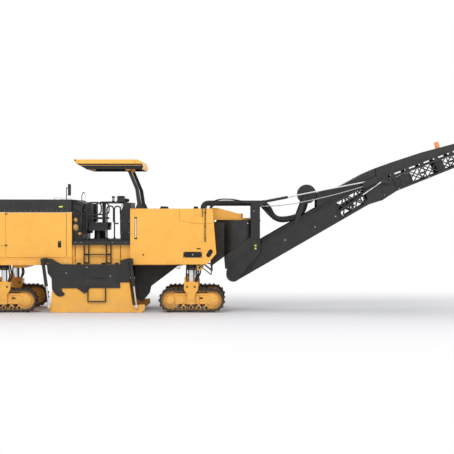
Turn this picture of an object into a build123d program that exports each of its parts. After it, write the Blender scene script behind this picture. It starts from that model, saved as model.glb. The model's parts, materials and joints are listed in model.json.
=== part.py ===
from build123d import *

import os
from math import atan2, cos, degrees, hypot, pi, radians, sin, tan

os.makedirs("parts", exist_ok=True)

# Cold planer (road milling machine) on four steered tracks, with a slewing, folding
# discharge conveyor in front.  Millimetres; +X forward, +Y left, +Z up; Z = 0 is the ground
# and the origin lies under the middle of the whole machine.
# Stations written as x are real positions; those of the body are set out from the front legs.

# ---------------------------------------------------------------- main stations
FRONT_LEG_X = -842.0
WHEELBASE = 4910.0
REAR_LEG_X = FRONT_LEG_X - WHEELBASE
REAR_END_X = FRONT_LEG_X - 6200.0        # back of the engine housing
HOUSING_FRONT_X = FRONT_LEG_X - 3120.0   # engine housing meets the platform
PLATFORM_FRONT_X = FRONT_LEG_X - 1590.0  # platform meets the front tank body
DRUM_X = FRONT_LEG_X - 2420.0
SLEW_X = FRONT_LEG_X + 1250.0            # vertical axis of the discharge conveyor

# ---------------------------------------------------------------- heights and widths
CHASSIS_BOTTOM = 1240.0
BAND_TOP = 1440.0            # top of the long frame band
DECK_BOTTOM = 1770.0
DECK_TOP = 1890.0            # operator's floor
HOUSING_TOP = 2620.0
HOOD_TOP = 2960.0
BODY_TOP = 2720.0            # front tank body
BODY_HALF = 1175.0           # outer face of the body panels
BAND_HALF = 1150.0           # outer face of the frame band
BAY_HALF = 1050.0            # recessed frame side under the platform
WALL = 40.0                  # panel thickness, doors included
GAP = 6.0                    # clearance between panels
PIN_GAP = 0.5                # clearance of a pin in its hole

# ---------------------------------------------------------------- tracks
TRACK_Y = 1030.0             # track centre line
TRACK_LENGTH = 1750.0        # over the lugs
TRACK_WIDTH = 300.0
TRACK_RADIUS = 320.0         # over the lugs, round a wheel
LUG_HEIGHT = 32.0
LUG_LENGTH = 52.0
SHOE_THICKNESS = 34.0
SHOE_COUNT = 33
TRACK_SHIFT = 20.0           # track centre ahead of its leg
WHEEL_SPAN = TRACK_LENGTH - 2 * TRACK_RADIUS
SHOE_RADIUS = TRACK_RADIUS - LUG_HEIGHT
INNER_RADIUS = SHOE_RADIUS - SHOE_THICKNESS
WHEEL_RADIUS = INNER_RADIUS - 10.0
WHEEL_WIDTH = 120.0
SPROCKET_TEETH = 21
TOOTH_DEPTH = 24.0
HUB_RADIUS = 100.0
HUB_RING_RADIUS = 145.0
ROLLER_RADIUS = 58.0
ROLLER_WIDTH = 200.0
ROLLER_STATIONS = (-200.0, 0.0, 200.0, 400.0)
FRAME_BOTTOM = 215.0
FRAME_TOP = 500.0
FRAME_WIDTH = 190.0
YOKE_GAP = 6.0               # yoke cheek beside the shoes
CHEEK_THICKNESS = 30.0
YOKE_TOP = 790.0
YOKE_SHOULDER = 600.0        # cheeks taper below this
YOKE_LENGTH = 370.0
TRUNK_LENGTH = 190.0
TRUNK_BOTTOM = 215.0
PIVOT_Z = 350.0              # track frame swings on this cross pin
PIVOT_RADIUS = 45.0
RAM_RADIUS = 80.0
COLLAR_RADIUS = 110.0
COLLAR_LENGTH = 100.0
LEGS = (                     # corner name, leg x, side (-1 right, +1 left)
    ("front_right", FRONT_LEG_X, -1),
    ("front_left", FRONT_LEG_X, 1),
    ("rear_right", REAR_LEG_X, -1),
    ("rear_left", REAR_LEG_X, 1),
)


def outline(points):
    """Face with straight sides through (x, z) corners, standing in the XZ plane."""
    with BuildSketch(Plane.XZ) as profile:
        with BuildLine():
            Polyline(*points, close=True)
        make_face()
    return profile.sketch


def slab(points, inner, outer, side):
    """Profile of (x, z) corners extruded from |y| = inner to |y| = outer on one side."""
    with BuildSketch(Plane.XZ.offset(-side * inner)) as profile:
        Polygon(*points, align=None)
    return extrude(profile.sketch, amount=-side * (outer - inner))


def block(x_range, y_range, z_range, mode=Mode.ADD):
    """Plain box between two corners, added to (or cut from) the open part."""
    size = [high - low for low, high in (x_range, y_range, z_range)]
    middle = [(high + low) / 2 for low, high in (x_range, y_range, z_range)]
    with Locations(Location(tuple(middle))):
        return Box(*size, mode=mode)


def cross_cylinder(x, z, radius, y_range, mode=Mode.ADD):
    """Cylinder along Y between two faces."""
    low, high = y_range
    with Locations(Location((x, (low + high) / 2, z), (90, 0, 0))):
        return Cylinder(radius, high - low, mode=mode)


def upright_cylinder(x, y, radius, z_range, mode=Mode.ADD):
    """Cylinder along Z between two heights."""
    low, high = z_range
    with Locations(Location((x, y, (low + high) / 2))):
        return Cylinder(radius, high - low, mode=mode)


def rod_between(start, end, radius, mode=Mode.ADD):
    """Straight round bar from one point to another."""
    first = Vector(*start)
    run = Vector(*end) - first
    with BuildSketch(Plane(origin=first, z_dir=run)) as section:
        Circle(radius)
    return extrude(section.sketch, amount=run.length, mode=mode)


def bent_tube(points, bend_radius, tube_radius):
    """Round tube through the points, with equal bends at the inner ones."""
    with BuildLine() as path:
        FilletPolyline(*points, radius=bend_radius)
    start = path.line @ 0
    direction = path.line % 0
    with BuildSketch(Plane(origin=start, z_dir=direction)) as section:
        Circle(tube_radius)
    return sweep(section.sketch, path=path.line)


# ================================================================ undercarriage
def shoe_stations():
    """Places of the shoes round the track: distance is measured along the shoe centres."""
    radius = (SHOE_RADIUS + INNER_RADIUS) / 2
    straight = WHEEL_SPAN
    arc = pi * radius
    pitch = (2 * straight + 2 * arc) / SHOE_COUNT
    stations = []
    for index in range(SHOE_COUNT):
        distance = (index + 0.5) * pitch
        if distance < straight:
            place = (-straight / 2 + distance, 0.0, -90.0)
        elif distance < straight + arc:
            angle = -90.0 + degrees((distance - straight) / radius)
            place = (straight / 2, 0.0, angle)
        elif distance < 2 * straight + arc:
            place = (straight / 2 - (distance - straight - arc), 0.0, 90.0)
        else:
            angle = 90.0 + degrees((distance - 2 * straight - arc) / radius)
            place = (-straight / 2, 0.0, angle)
        stations.append(place)
    return stations


SHOES = shoe_stations()

for corner, leg_x, side in LEGS:
    track_x = leg_x + TRACK_SHIFT
    centre_y = side * TRACK_Y
    sprocket_x = track_x - WHEEL_SPAN / 2
    idler_x = track_x + WHEEL_SPAN / 2
    cheek_inner = TRACK_WIDTH / 2 + YOKE_GAP
    cheek_outer = cheek_inner + CHEEK_THICKNESS

    with BuildPart() as track_loop:
        with BuildSketch(Plane.XZ.offset(-centre_y - TRACK_WIDTH / 2)):
            with Locations((track_x, TRACK_RADIUS)):
                SlotCenterToCenter(WHEEL_SPAN, 2 * SHOE_RADIUS)
                for x, z, angle in SHOES:
                    reach = SHOE_RADIUS + LUG_HEIGHT / 2 - SHOE_THICKNESS / 4
                    lug_x = x + reach * cos(radians(angle))
                    lug_z = z + reach * sin(radians(angle))
                    with Locations(Location((lug_x, lug_z, 0), (0, 0, angle))):
                        Rectangle(LUG_HEIGHT + SHOE_THICKNESS / 2, LUG_LENGTH)
                SlotCenterToCenter(WHEEL_SPAN, 2 * TRACK_RADIUS, mode=Mode.INTERSECT)
                SlotCenterToCenter(WHEEL_SPAN, 2 * INNER_RADIUS, mode=Mode.SUBTRACT)
        extrude(amount=TRACK_WIDTH)
    track_loop.part.label = "track_loop_" + corner
    export_step(track_loop.part, "parts/track_loop_" + corner + ".step")

    with BuildPart() as track_frame:
        # box beam between the wheels, lightened towards the sprocket
        block((sprocket_x + HUB_RADIUS, idler_x + HUB_RADIUS / 2),
              (centre_y - FRAME_WIDTH / 2, centre_y + FRAME_WIDTH / 2),
              (FRAME_BOTTOM, FRAME_TOP))
        # toothed sprocket at the rear and smooth idler in front
        with BuildSketch(Plane.XZ.offset(-centre_y - WHEEL_WIDTH / 2)):
            with Locations((sprocket_x, TRACK_RADIUS)):
                Circle(WHEEL_RADIUS - TOOTH_DEPTH)
                with PolarLocations(WHEEL_RADIUS - TOOTH_DEPTH, SPROCKET_TEETH):
                    Rectangle(2 * TOOTH_DEPTH - 4.0, TOOTH_DEPTH)
        extrude(amount=WHEEL_WIDTH)
        cross_cylinder(idler_x, TRACK_RADIUS, WHEEL_RADIUS,
                       (centre_y - WHEEL_WIDTH / 2, centre_y + WHEEL_WIDTH / 2))
        for wheel_x in (sprocket_x, idler_x):
            cross_cylinder(wheel_x, TRACK_RADIUS, HUB_RING_RADIUS,
                           (centre_y - FRAME_WIDTH / 2 - 15.0, centre_y + FRAME_WIDTH / 2 + 15.0))
        cross_cylinder(sprocket_x, TRACK_RADIUS, HUB_RADIUS,
                       (centre_y - TRACK_WIDTH / 2, centre_y + TRACK_WIDTH / 2))
        # bottom rollers, hung on the beam
        for station in ROLLER_STATIONS:
            roller_z = TRACK_RADIUS - INNER_RADIUS + 2.0 + ROLLER_RADIUS
            cross_cylinder(leg_x + station, roller_z, ROLLER_RADIUS,
                           (centre_y - ROLLER_WIDTH / 2, centre_y + ROLLER_WIDTH / 2))
            block((leg_x + station - 25.0, leg_x + station + 25.0),
                  (centre_y - FRAME_WIDTH / 2, centre_y + FRAME_WIDTH / 2),
                  (roller_z, FRAME_BOTTOM + 10.0))
        # bore for the swing pin of the yoke
        cross_cylinder(leg_x, PIVOT_Z, PIVOT_RADIUS + PIN_GAP,
                       (centre_y - TRACK_WIDTH / 2, centre_y + TRACK_WIDTH / 2), Mode.SUBTRACT)
    track_frame.part.label = "track_frame_" + corner
    export_step(track_frame.part, "parts/track_frame_" + corner + ".step")

    with BuildPart() as yoke:
        block((leg_x - YOKE_LENGTH / 2, leg_x + YOKE_LENGTH / 2),
              (centre_y - cheek_outer, centre_y + cheek_outer),
              (2 * TRACK_RADIUS + 20.0, YOKE_TOP))
        for face_y in (centre_y - cheek_outer, centre_y + cheek_inner):
            with BuildSketch(Plane.XZ.offset(-face_y)):
                with BuildLine():
                    Polyline((leg_x - YOKE_LENGTH / 2, YOKE_TOP),
                             (leg_x + YOKE_LENGTH / 2, YOKE_TOP),
                             (leg_x + YOKE_LENGTH / 2, YOKE_SHOULDER),
                             (leg_x + TRUNK_LENGTH / 2, YOKE_SHOULDER - 130.0),
                             (leg_x + TRUNK_LENGTH / 2, TRUNK_BOTTOM),
                             (leg_x - TRUNK_LENGTH / 2, TRUNK_BOTTOM),
                             (leg_x - TRUNK_LENGTH / 2, YOKE_SHOULDER - 130.0),
                             (leg_x - YOKE_LENGTH / 2, YOKE_SHOULDER), close=True)
                make_face()
            extrude(amount=-CHEEK_THICKNESS)
        cross_cylinder(leg_x, PIVOT_Z, PIVOT_RADIUS,
                       (centre_y - cheek_outer, centre_y + cheek_outer))
        # rest bracket for the steering link, behind the leg
        block((leg_x - 180.0, leg_x - RAM_RADIUS - GAP), (centre_y - 60.0, centre_y + 60.0),
              (YOKE_TOP, YOKE_TOP + 130.0))
    yoke.part.label = "yoke_" + corner
    export_step(yoke.part, "parts/yoke_" + corner + ".step")

with BuildPart() as leg_rams:
    for corner, leg_x, side in LEGS:
        upright_cylinder(leg_x, side * TRACK_Y, RAM_RADIUS,
                         (YOKE_TOP + 1.0, CHASSIS_BOTTOM - COLLAR_LENGTH))
leg_rams.part.label = "leg_rams"
export_step(leg_rams.part, "parts/leg_rams.step")

# ================================================================ chassis
BODY_FRONT_X = FRONT_LEG_X + 500.0       # flat front of the body between its cheeks
CHEEK_INNER_Y = 800.0                    # the cheeks run forward outside this
PRIMARY_HALF = 400.0                     # half width of the conveyor under the body
PRIMARY_ANGLE = 37.0
PRIMARY_TAIL = (FRONT_LEG_X - 1520.0, 520.0)
PRIMARY_LENGTH = 2250.0
PRIMARY_DEPTH = 160.0                    # frame half depth
TUNNEL_HALF = PRIMARY_HALF + 50.0
TUNNEL_LOW = PRIMARY_DEPTH + 60.0        # below and above the conveyor line
TUNNEL_HIGH = PRIMARY_DEPTH + 240.0
EYE_RADIUS = 30.0                        # tie-down and lifting eyes
EYE_PLATE = 40.0
TIE_REAR_X = REAR_END_X + 300.0
TIE_FRONT_X = FRONT_LEG_X + 215.0
TIE_Z = 1160.0
TOW_X = REAR_END_X - 90.0
TOW_Z = (1290.0, 1350.0)      # gap between the clevis plates
TOW_PLATE = 40.0
TOW_RADIUS = 32.0
DRUM_HOUSING_X = (DRUM_X - 640.0, DRUM_X + 620.0)
ARM_FRONT_X = FRONT_LEG_X + 300.0        # frame arms under the front body
ARM_TOP = BAND_TOP - 60.0


def sloped(origin, angle, along_line, rise):
    """World (x, z) of a place along a sloping line and a rise square to it."""
    x, z = origin
    a = radians(angle)
    return (x + along_line * cos(a) - rise * sin(a), z + along_line * sin(a) + rise * cos(a))


def sloped_box(origin, angle, along_range, rise_range):
    """Corners of a rectangle laid out along a sloping line."""
    (s0, s1), (t0, t1) = along_range, rise_range
    return [sloped(origin, angle, s, t) for s, t in ((s0, t0), (s1, t0), (s1, t1), (s0, t1))]


def leg_collars(leg_x):
    """Collars of the two leg sleeves at one station, added to the open part."""
    for side in (-1, 1):
        upright_cylinder(leg_x, side * TRACK_Y, COLLAR_RADIUS,
                         (CHASSIS_BOTTOM - COLLAR_LENGTH, CHASSIS_BOTTOM + 20.0))


def tie_down_eyes(station):
    """Bored plates under both edges of the frame, added to the open part."""
    for side in (-1, 1):
        low, high = sorted((side * (BAY_HALF - EYE_PLATE), side * BAY_HALF))
        block((station - 75.0, station + 75.0), (low, high), (TIE_Z - 60.0, CHASSIS_BOTTOM + 10.0))
    cross_cylinder(station, TIE_Z, EYE_RADIUS, (-BODY_HALF, BODY_HALF), Mode.SUBTRACT)


with BuildPart() as rear_frame:
    # long side bands with the cross floor under the engine
    block((REAR_END_X, HOUSING_FRONT_X), (-BAND_HALF, BAND_HALF), (CHASSIS_BOTTOM, BAND_TOP))
    leg_collars(REAR_LEG_X)
    tie_down_eyes(TIE_REAR_X)
    # under-beam between the rear legs
    block((REAR_LEG_X + 160.0, REAR_LEG_X + 520.0), (-700.0, 700.0), (1150.0, CHASSIS_BOTTOM + 10.0))
    # towing clevis on the back face with a vertical pin hole
    for low, high in ((TOW_Z[0] - TOW_PLATE, TOW_Z[0]), (TOW_Z[1], TOW_Z[1] + TOW_PLATE)):
        block((REAR_END_X - 150.0, REAR_END_X), (-80.0, 80.0), (low, high))
    block((REAR_END_X - 20.0, REAR_END_X), (-160.0, 160.0),
          (TOW_Z[0] - TOW_PLATE - 5.0, TOW_Z[1] + TOW_PLATE + 45.0))
    upright_cylinder(TOW_X, 0.0, TOW_RADIUS, (TOW_Z[0] - 60.0, TOW_Z[1] + 60.0), Mode.SUBTRACT)
rear_frame.part.label = "rear_frame"
export_step(rear_frame.part, "parts/rear_frame.step")

with BuildPart() as main_frame:
    # recessed bay under the platform
    block((HOUSING_FRONT_X, PLATFORM_FRONT_X), (-BAY_HALF, BAY_HALF), (CHASSIS_BOTTOM, DECK_BOTTOM))
    # tunnel for the conveyor in front of the drum
    with BuildSketch(Plane.XZ) as tunnel:
        with BuildLine():
            Polyline(*sloped_box(PRIMARY_TAIL, PRIMARY_ANGLE, (-200.0, PRIMARY_LENGTH + 600.0),
                                 (-TUNNEL_LOW, TUNNEL_HIGH)), close=True)
        make_face()
    extrude(tunnel.sketch, amount=TUNNEL_HALF, both=True, mode=Mode.SUBTRACT)
main_frame.part.label = "main_frame"
export_step(main_frame.part, "parts/main_frame.step")

with BuildPart() as front_arms:
    # the two arms of the frame under the front body, one on each side of the tunnel
    for side in (-1, 1):
        low, high = sorted((side * (TUNNEL_HALF + 10.0), side * BAY_HALF))
        block((PLATFORM_FRONT_X, ARM_FRONT_X), (low, high), (CHASSIS_BOTTOM, ARM_TOP))
    leg_collars(FRONT_LEG_X)
    tie_down_eyes(TIE_FRONT_X)
front_arms.part.label = "front_arms"
export_step(front_arms.part, "parts/front_arms.step")

DOOR_REAR_X = FRONT_LEG_X - 4850.0
DOOR_FRONT_X = FRONT_LEG_X - 3260.0
GRILLE_HALF = 950.0
GRILLE_Z = (BAND_TOP + 120.0, HOUSING_TOP - 120.0)

with BuildPart() as engine_housing:
    block((REAR_END_X, HOUSING_FRONT_X), (-BODY_HALF, BODY_HALF), (BAND_TOP, HOUSING_TOP))
    block((REAR_END_X + WALL, HOUSING_FRONT_X - WALL), (-BODY_HALF + WALL, BODY_HALF - WALL),
          (BAND_TOP, HOUSING_TOP), Mode.SUBTRACT)
    block((DOOR_REAR_X, DOOR_FRONT_X), (-BODY_HALF, BODY_HALF), (BAND_TOP, HOUSING_TOP),
          Mode.SUBTRACT)
    block((REAR_END_X, REAR_END_X + WALL), (-GRILLE_HALF, GRILLE_HALF), GRILLE_Z, Mode.SUBTRACT)
    # sill and header strips that keep the walls in one piece past the doors
    for side in (-1, 1):
        low, high = sorted((side * (BODY_HALF - 3 * WALL), side * (BODY_HALF - WALL - GAP)))
        for z_range in ((BAND_TOP, BAND_TOP + 60.0), (HOUSING_TOP - 60.0, HOUSING_TOP)):
            block((DOOR_REAR_X - WALL, DOOR_FRONT_X + WALL), (low, high), z_range)
            for post_x in (DOOR_REAR_X - WALL, DOOR_FRONT_X):
                block((post_x, post_x + WALL), tuple(sorted((low, side * (BODY_HALF - 1.0)))), z_range)
engine_housing.part.label = "engine_housing"
export_step(engine_housing.part, "parts/engine_housing.step")

with BuildPart() as rear_grille:
    block((REAR_END_X + 8.0, REAR_END_X + 30.0), (-GRILLE_HALF, GRILLE_HALF), GRILLE_Z)
    block((REAR_END_X + 8.0, REAR_END_X + 30.0), (-GRILLE_HALF + 50.0, GRILLE_HALF - 50.0),
          (GRILLE_Z[0] + 50.0, GRILLE_Z[1] - 50.0), Mode.SUBTRACT)
    slat_pitch = 62.0
    slat_count = int((GRILLE_Z[1] - GRILLE_Z[0] - 100.0) // slat_pitch)
    for index in range(slat_count):
        slat_z = GRILLE_Z[0] + 50.0 + (index + 0.5) * slat_pitch
        block((REAR_END_X + 10.0, REAR_END_X + 28.0), (-GRILLE_HALF + 40.0, GRILLE_HALF - 40.0),
              (slat_z - 14.0, slat_z + 14.0))
    block((REAR_END_X + 8.0, REAR_END_X + 30.0), (-25.0, 25.0), GRILLE_Z)
rear_grille.part.label = "rear_grille"
export_step(rear_grille.part, "parts/rear_grille.step")

with BuildPart() as engine_block:
    block((DOOR_REAR_X + 150.0, DOOR_FRONT_X - 250.0), (-420.0, 420.0), (BAND_TOP, 2480.0))
    # cooler pack behind the grille
    block((REAR_END_X + 140.0, REAR_END_X + 640.0), (-900.0, 900.0), (BAND_TOP, 2560.0))
engine_block.part.label = "engine_block"
export_step(engine_block.part, "parts/engine_block.step")

# -------------------------------- engine doors and hood
for name, side in (("engine_door_right", -1), ("engine_door_left", 1)):
    with BuildPart() as engine_door:
        low, high = sorted((side * (BODY_HALF - WALL), side * BODY_HALF))
        block((DOOR_REAR_X + GAP, DOOR_FRONT_X - GAP), (low, high),
              (BAND_TOP + GAP, HOUSING_TOP - GAP))
        # handle recess near the front edge
        low, high = sorted((side * (BODY_HALF - 18.0), side * (BODY_HALF + 1.0)))
        block((DOOR_FRONT_X - 215.0, DOOR_FRONT_X - 145.0), (low, high), (1710.0, 1870.0),
              Mode.SUBTRACT)
    engine_door.part.label = name
    export_step(engine_door.part, "parts/" + name + ".step")

HOOD_SHELL = 30.0
HOOD_REAR_DROP = 160.0
MIRROR_X = FRONT_LEG_X - 3260.0
MIRROR_Y = (-1380.0, -1180.0)
MIRROR_Z = (3060.0, 3360.0)
MIRROR_ARM_Z = 3262.0
MIRROR_ARM = 11.0            # radius of the bent bracket
with BuildPart() as engine_hood:
    hood_front = HOUSING_FRONT_X - GAP
    outer_points = [(REAR_END_X, HOUSING_TOP + GAP), (hood_front, HOUSING_TOP + GAP),
                    (hood_front, HOOD_TOP), (REAR_END_X + 260.0, HOOD_TOP),
                    (REAR_END_X, HOOD_TOP - HOOD_REAR_DROP)]
    inner_points = [(REAR_END_X + HOOD_SHELL, HOUSING_TOP - 10.0),
                    (hood_front - HOOD_SHELL, HOUSING_TOP - 10.0),
                    (hood_front - HOOD_SHELL, HOOD_TOP - HOOD_SHELL),
                    (REAR_END_X + 270.0, HOOD_TOP - HOOD_SHELL),
                    (REAR_END_X + HOOD_SHELL, HOOD_TOP - HOOD_REAR_DROP - 12.0)]
    extrude(outline(outer_points), amount=BODY_HALF, both=True)
    extrude(outline(inner_points), amount=BODY_HALF - HOOD_SHELL, both=True, mode=Mode.SUBTRACT)
    # a mirror on the right on a bent bracket
    foot_y = -BODY_HALF + 25.0
    arm_x = MIRROR_X + 80.0
    rod_between((MIRROR_X, foot_y, HOOD_TOP - 5.0), (MIRROR_X, foot_y, MIRROR_ARM_Z + 8.0),
                MIRROR_ARM)
    rod_between((MIRROR_X - MIRROR_ARM, foot_y, MIRROR_ARM_Z),
                (arm_x + MIRROR_ARM, foot_y, MIRROR_ARM_Z), MIRROR_ARM)
    rod_between((arm_x, foot_y + MIRROR_ARM, MIRROR_ARM_Z),
                (arm_x, MIRROR_Y[1] - 40.0, MIRROR_ARM_Z), MIRROR_ARM)
    block((arm_x - 15.0, arm_x + 40.0), MIRROR_Y, MIRROR_Z)
engine_hood.part.label = "engine_hood"
export_step(engine_hood.part, "parts/engine_hood.step")

# -------------------------------- front tank body
BODY_SIDE = (                            # side outline of the cheeks, (x, z)
    (PLATFORM_FRONT_X, CHASSIS_BOTTOM + 20.0),
    (FRONT_LEG_X + 420.0, CHASSIS_BOTTOM + 20.0),
    (FRONT_LEG_X + 660.0, 1540.0),
    (FRONT_LEG_X + 590.0, 2400.0),
    (FRONT_LEG_X + 560.0, BODY_TOP),
    (PLATFORM_FRONT_X, BODY_TOP),
)
with BuildPart() as front_body:
    extrude(outline(BODY_SIDE), amount=BODY_HALF, both=True)
    # flat front, carried on by the cheeks
    block((BODY_FRONT_X, FRONT_LEG_X + 700.0), (-BODY_HALF - 10.0, BODY_HALF + 10.0),
          (CHASSIS_BOTTOM - 10.0, BODY_TOP + 10.0), Mode.SUBTRACT)
    # room for the frame below and the conveyor tunnel through the middle
    block((PLATFORM_FRONT_X, ARM_FRONT_X + GAP), (-BAY_HALF - GAP, BAY_HALF + GAP),
          (CHASSIS_BOTTOM, ARM_TOP + GAP), Mode.SUBTRACT)
    extrude(outline(sloped_box(PRIMARY_TAIL, PRIMARY_ANGLE, (-200.0, PRIMARY_LENGTH + 600.0),
                               (-TUNNEL_LOW, TUNNEL_HIGH))),
            amount=TUNNEL_HALF, both=True, mode=Mode.SUBTRACT)
    # long grab slots behind the front edge of the platform, one each side
    for side in (-1, 1):
        low, high = sorted((side * (BODY_HALF - 60.0), side * BODY_HALF))
        block((FRONT_LEG_X - 1475.0, FRONT_LEG_X - 1415.0), (low, high), (1920.0, 2500.0),
              Mode.SUBTRACT)
front_body.part.label = "front_body"
export_step(front_body.part, "parts/front_body.step")

with BuildPart() as body_cheeks:
    # side walls that run on forward of the flat front
    extrude(outline(BODY_SIDE), amount=BODY_HALF, both=True)
    block((PLATFORM_FRONT_X - 10.0, BODY_FRONT_X), (-BODY_HALF - 10.0, BODY_HALF + 10.0),
          (CHASSIS_BOTTOM - 10.0, BODY_TOP + 10.0), Mode.SUBTRACT)
    block((BODY_FRONT_X - 10.0, FRONT_LEG_X + 700.0), (-CHEEK_INNER_Y, CHEEK_INNER_Y),
          (CHASSIS_BOTTOM - 10.0, BODY_TOP + 10.0), Mode.SUBTRACT)
body_cheeks.part.label = "body_cheeks"
export_step(body_cheeks.part, "parts/body_cheeks.step")

# -------------------------------- operator's platform
RAIL_RADIUS = 19.0
RAIL_Y = BODY_HALF - 35.0
RAIL_TOP = 2880.0
with BuildPart() as platform_deck:
    block((HOUSING_FRONT_X + GAP, PLATFORM_FRONT_X - GAP), (-BODY_HALF, BODY_HALF),
          (DECK_BOTTOM, DECK_TOP))
platform_deck.part.label = "platform_deck"
export_step(platform_deck.part, "parts/platform_deck.step")

LADDER_RAILS = (-2800.0, -2680.0, -2220.0, -2100.0)   # from the front legs
LADDER_Y = 1135.0
LADDER_FOOT = 1275.0
LADDER_RUNG = 1520.0
with BuildPart() as ladders:
    for side in (-1, 1):
        for rail in LADDER_RAILS:
            rail_x = FRONT_LEG_X + rail
            upright_cylinder(rail_x, side * LADDER_Y, RAIL_RADIUS, (LADDER_FOOT, DECK_BOTTOM))
        for first, last in (LADDER_RAILS[:2], LADDER_RAILS[2:]):
            for z in (LADDER_FOOT + RAIL_RADIUS, LADDER_RUNG):
                rod_between((FRONT_LEG_X + first, side * LADDER_Y, z),
                            (FRONT_LEG_X + last, side * LADDER_Y, z), RAIL_RADIUS - 2.0)
            mid_x = FRONT_LEG_X + (first + last) / 2
            rod_between((mid_x, side * BAY_HALF, LADDER_RUNG), (mid_x, side * LADDER_Y, LADDER_RUNG),
                        RAIL_RADIUS - 4.0)
        low, high = sorted((side * (LADDER_Y - 30.0), side * (LADDER_Y + 30.0)))
        block((FRONT_LEG_X + LADDER_RAILS[1], FRONT_LEG_X + LADDER_RAILS[2]), (low, high),
              (LADDER_RUNG - 12.0, LADDER_RUNG + 12.0))
ladders.part.label = "ladders"
export_step(ladders.part, "parts/ladders.step")

# hand rails: (x from the front legs, z) corners of the loops, on both sides
REAR_RAIL = ((-2740.0, DECK_TOP), (-2740.0, RAIL_TOP), (-2350.0, RAIL_TOP), (-2350.0, 2560.0),
             (-2620.0, 2560.0))
FRONT_RAIL = ((-2200.0, DECK_TOP), (-2200.0, 2790.0), (-2030.0, 2790.0), (-2030.0, 2330.0),
              (-1930.0, 2330.0))
with BuildPart() as hand_rails:
    for side in (-1, 1):
        for loop, bend in ((REAR_RAIL, 110.0), (FRONT_RAIL, 80.0)):
            bent_tube([(FRONT_LEG_X + x, side * RAIL_Y, z) for x, z in loop], bend, RAIL_RADIUS)
        rod_between((FRONT_LEG_X - 2720.0, side * RAIL_Y, 2560.0),
                    (FRONT_LEG_X - 2600.0, side * RAIL_Y, 2560.0), RAIL_RADIUS)
        rod_between((FRONT_LEG_X - 1950.0, side * RAIL_Y, 2330.0),
                    (FRONT_LEG_X - 1895.0, side * RAIL_Y, 2330.0), RAIL_RADIUS)
hand_rails.part.label = "hand_rails"
export_step(hand_rails.part, "parts/hand_rails.step")

MACHINERY_HALF = 1080.0
with BuildPart() as machinery_block:
    # filters and hydraulics between the engine and the seats, under a sloped lid
    x0 = HOUSING_FRONT_X + GAP
    extrude(outline([(x0, DECK_TOP), (FRONT_LEG_X - 2860.0, DECK_TOP),
                     (FRONT_LEG_X - 2860.0, 2700.0), (FRONT_LEG_X - 2800.0, 2850.0),
                     (FRONT_LEG_X - 3050.0, 2955.0), (x0, 2955.0)]),
            amount=MACHINERY_HALF, both=True)
    for y in (-900.0, -450.0, 0.0, 450.0, 900.0):
        upright_cylinder(FRONT_LEG_X - 2860.0, y, 85.0, (2050.0, 2600.0))
machinery_block.part.label = "machinery_block"
export_step(machinery_block.part, "parts/machinery_block.step")

CONSOLE_HALF = 800.0
with BuildPart() as console:
    extrude(outline([(PLATFORM_FRONT_X - GAP, DECK_TOP), (PLATFORM_FRONT_X - GAP, 2880.0),
                     (FRONT_LEG_X - 1790.0, 2880.0), (FRONT_LEG_X - 1880.0, 2500.0),
                     (FRONT_LEG_X - 1880.0, DECK_TOP)]), amount=CONSOLE_HALF, both=True)
    # desk over the knees, monitor box on it, and the desk's post
    block((FRONT_LEG_X - 2470.0, FRONT_LEG_X - 1780.0), (-330.0, 330.0), (2860.0, 2910.0))
    block((FRONT_LEG_X - 2016.0, FRONT_LEG_X - 1830.0), (-150.0, 150.0), (2900.0, 3065.0))
    block((FRONT_LEG_X - 2420.0, FRONT_LEG_X - 2340.0), (-120.0, 120.0), (DECK_TOP, 2870.0))
console.part.label = "console"
export_step(console.part, "parts/console.step")

SEAT_Y = 640.0
SEAT_X = FRONT_LEG_X - 2480.0
with BuildPart() as seats:
    for side in (-1, 1):
        centre = side * SEAT_Y
        block((SEAT_X - 150.0, SEAT_X + 150.0), (centre - 150.0, centre + 150.0),
              (DECK_TOP, DECK_TOP + 30.0))
        upright_cylinder(SEAT_X, centre, 70.0, (DECK_TOP, 2150.0))
        block((SEAT_X - 230.0, SEAT_X + 220.0), (centre - 230.0, centre + 230.0), (2140.0, 2240.0))
        # back shell and arm rests
        block((SEAT_X - 290.0, SEAT_X - 250.0), (centre - 220.0, centre + 220.0), (2180.0, 2760.0))
        block((SEAT_X - 290.0, SEAT_X - 220.0), (centre - 60.0, centre + 60.0), (2160.0, 2300.0))
        for arm in (-1, 1):
            arm_low, arm_high = sorted((centre + arm * 245.0, centre + arm * 305.0))
            block((SEAT_X - 280.0, SEAT_X + 160.0), (arm_low, arm_high), (2440.0, 2490.0))
            shank_low, shank_high = sorted((centre + arm * 200.0, centre + arm * 290.0))
            block((SEAT_X - 285.0, SEAT_X - 252.0), (shank_low, shank_high), (2440.0, 2490.0))
seats.part.label = "seats"
export_step(seats.part, "parts/seats.step")

PAD_GAP = 1.0
with BuildPart() as seat_pads:
    for side in (-1, 1):
        centre = side * SEAT_Y
        block((SEAT_X - 215.0, SEAT_X + 225.0), (centre - 225.0, centre + 225.0),
              (2240.0 + PAD_GAP, 2350.0))
        block((SEAT_X - 250.0 + PAD_GAP, SEAT_X - 150.0), (centre - 215.0, centre + 215.0),
              (2360.0, 2860.0))
seat_pads.part.label = "seat_pads"
export_step(seat_pads.part, "parts/seat_pads.step")

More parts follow.
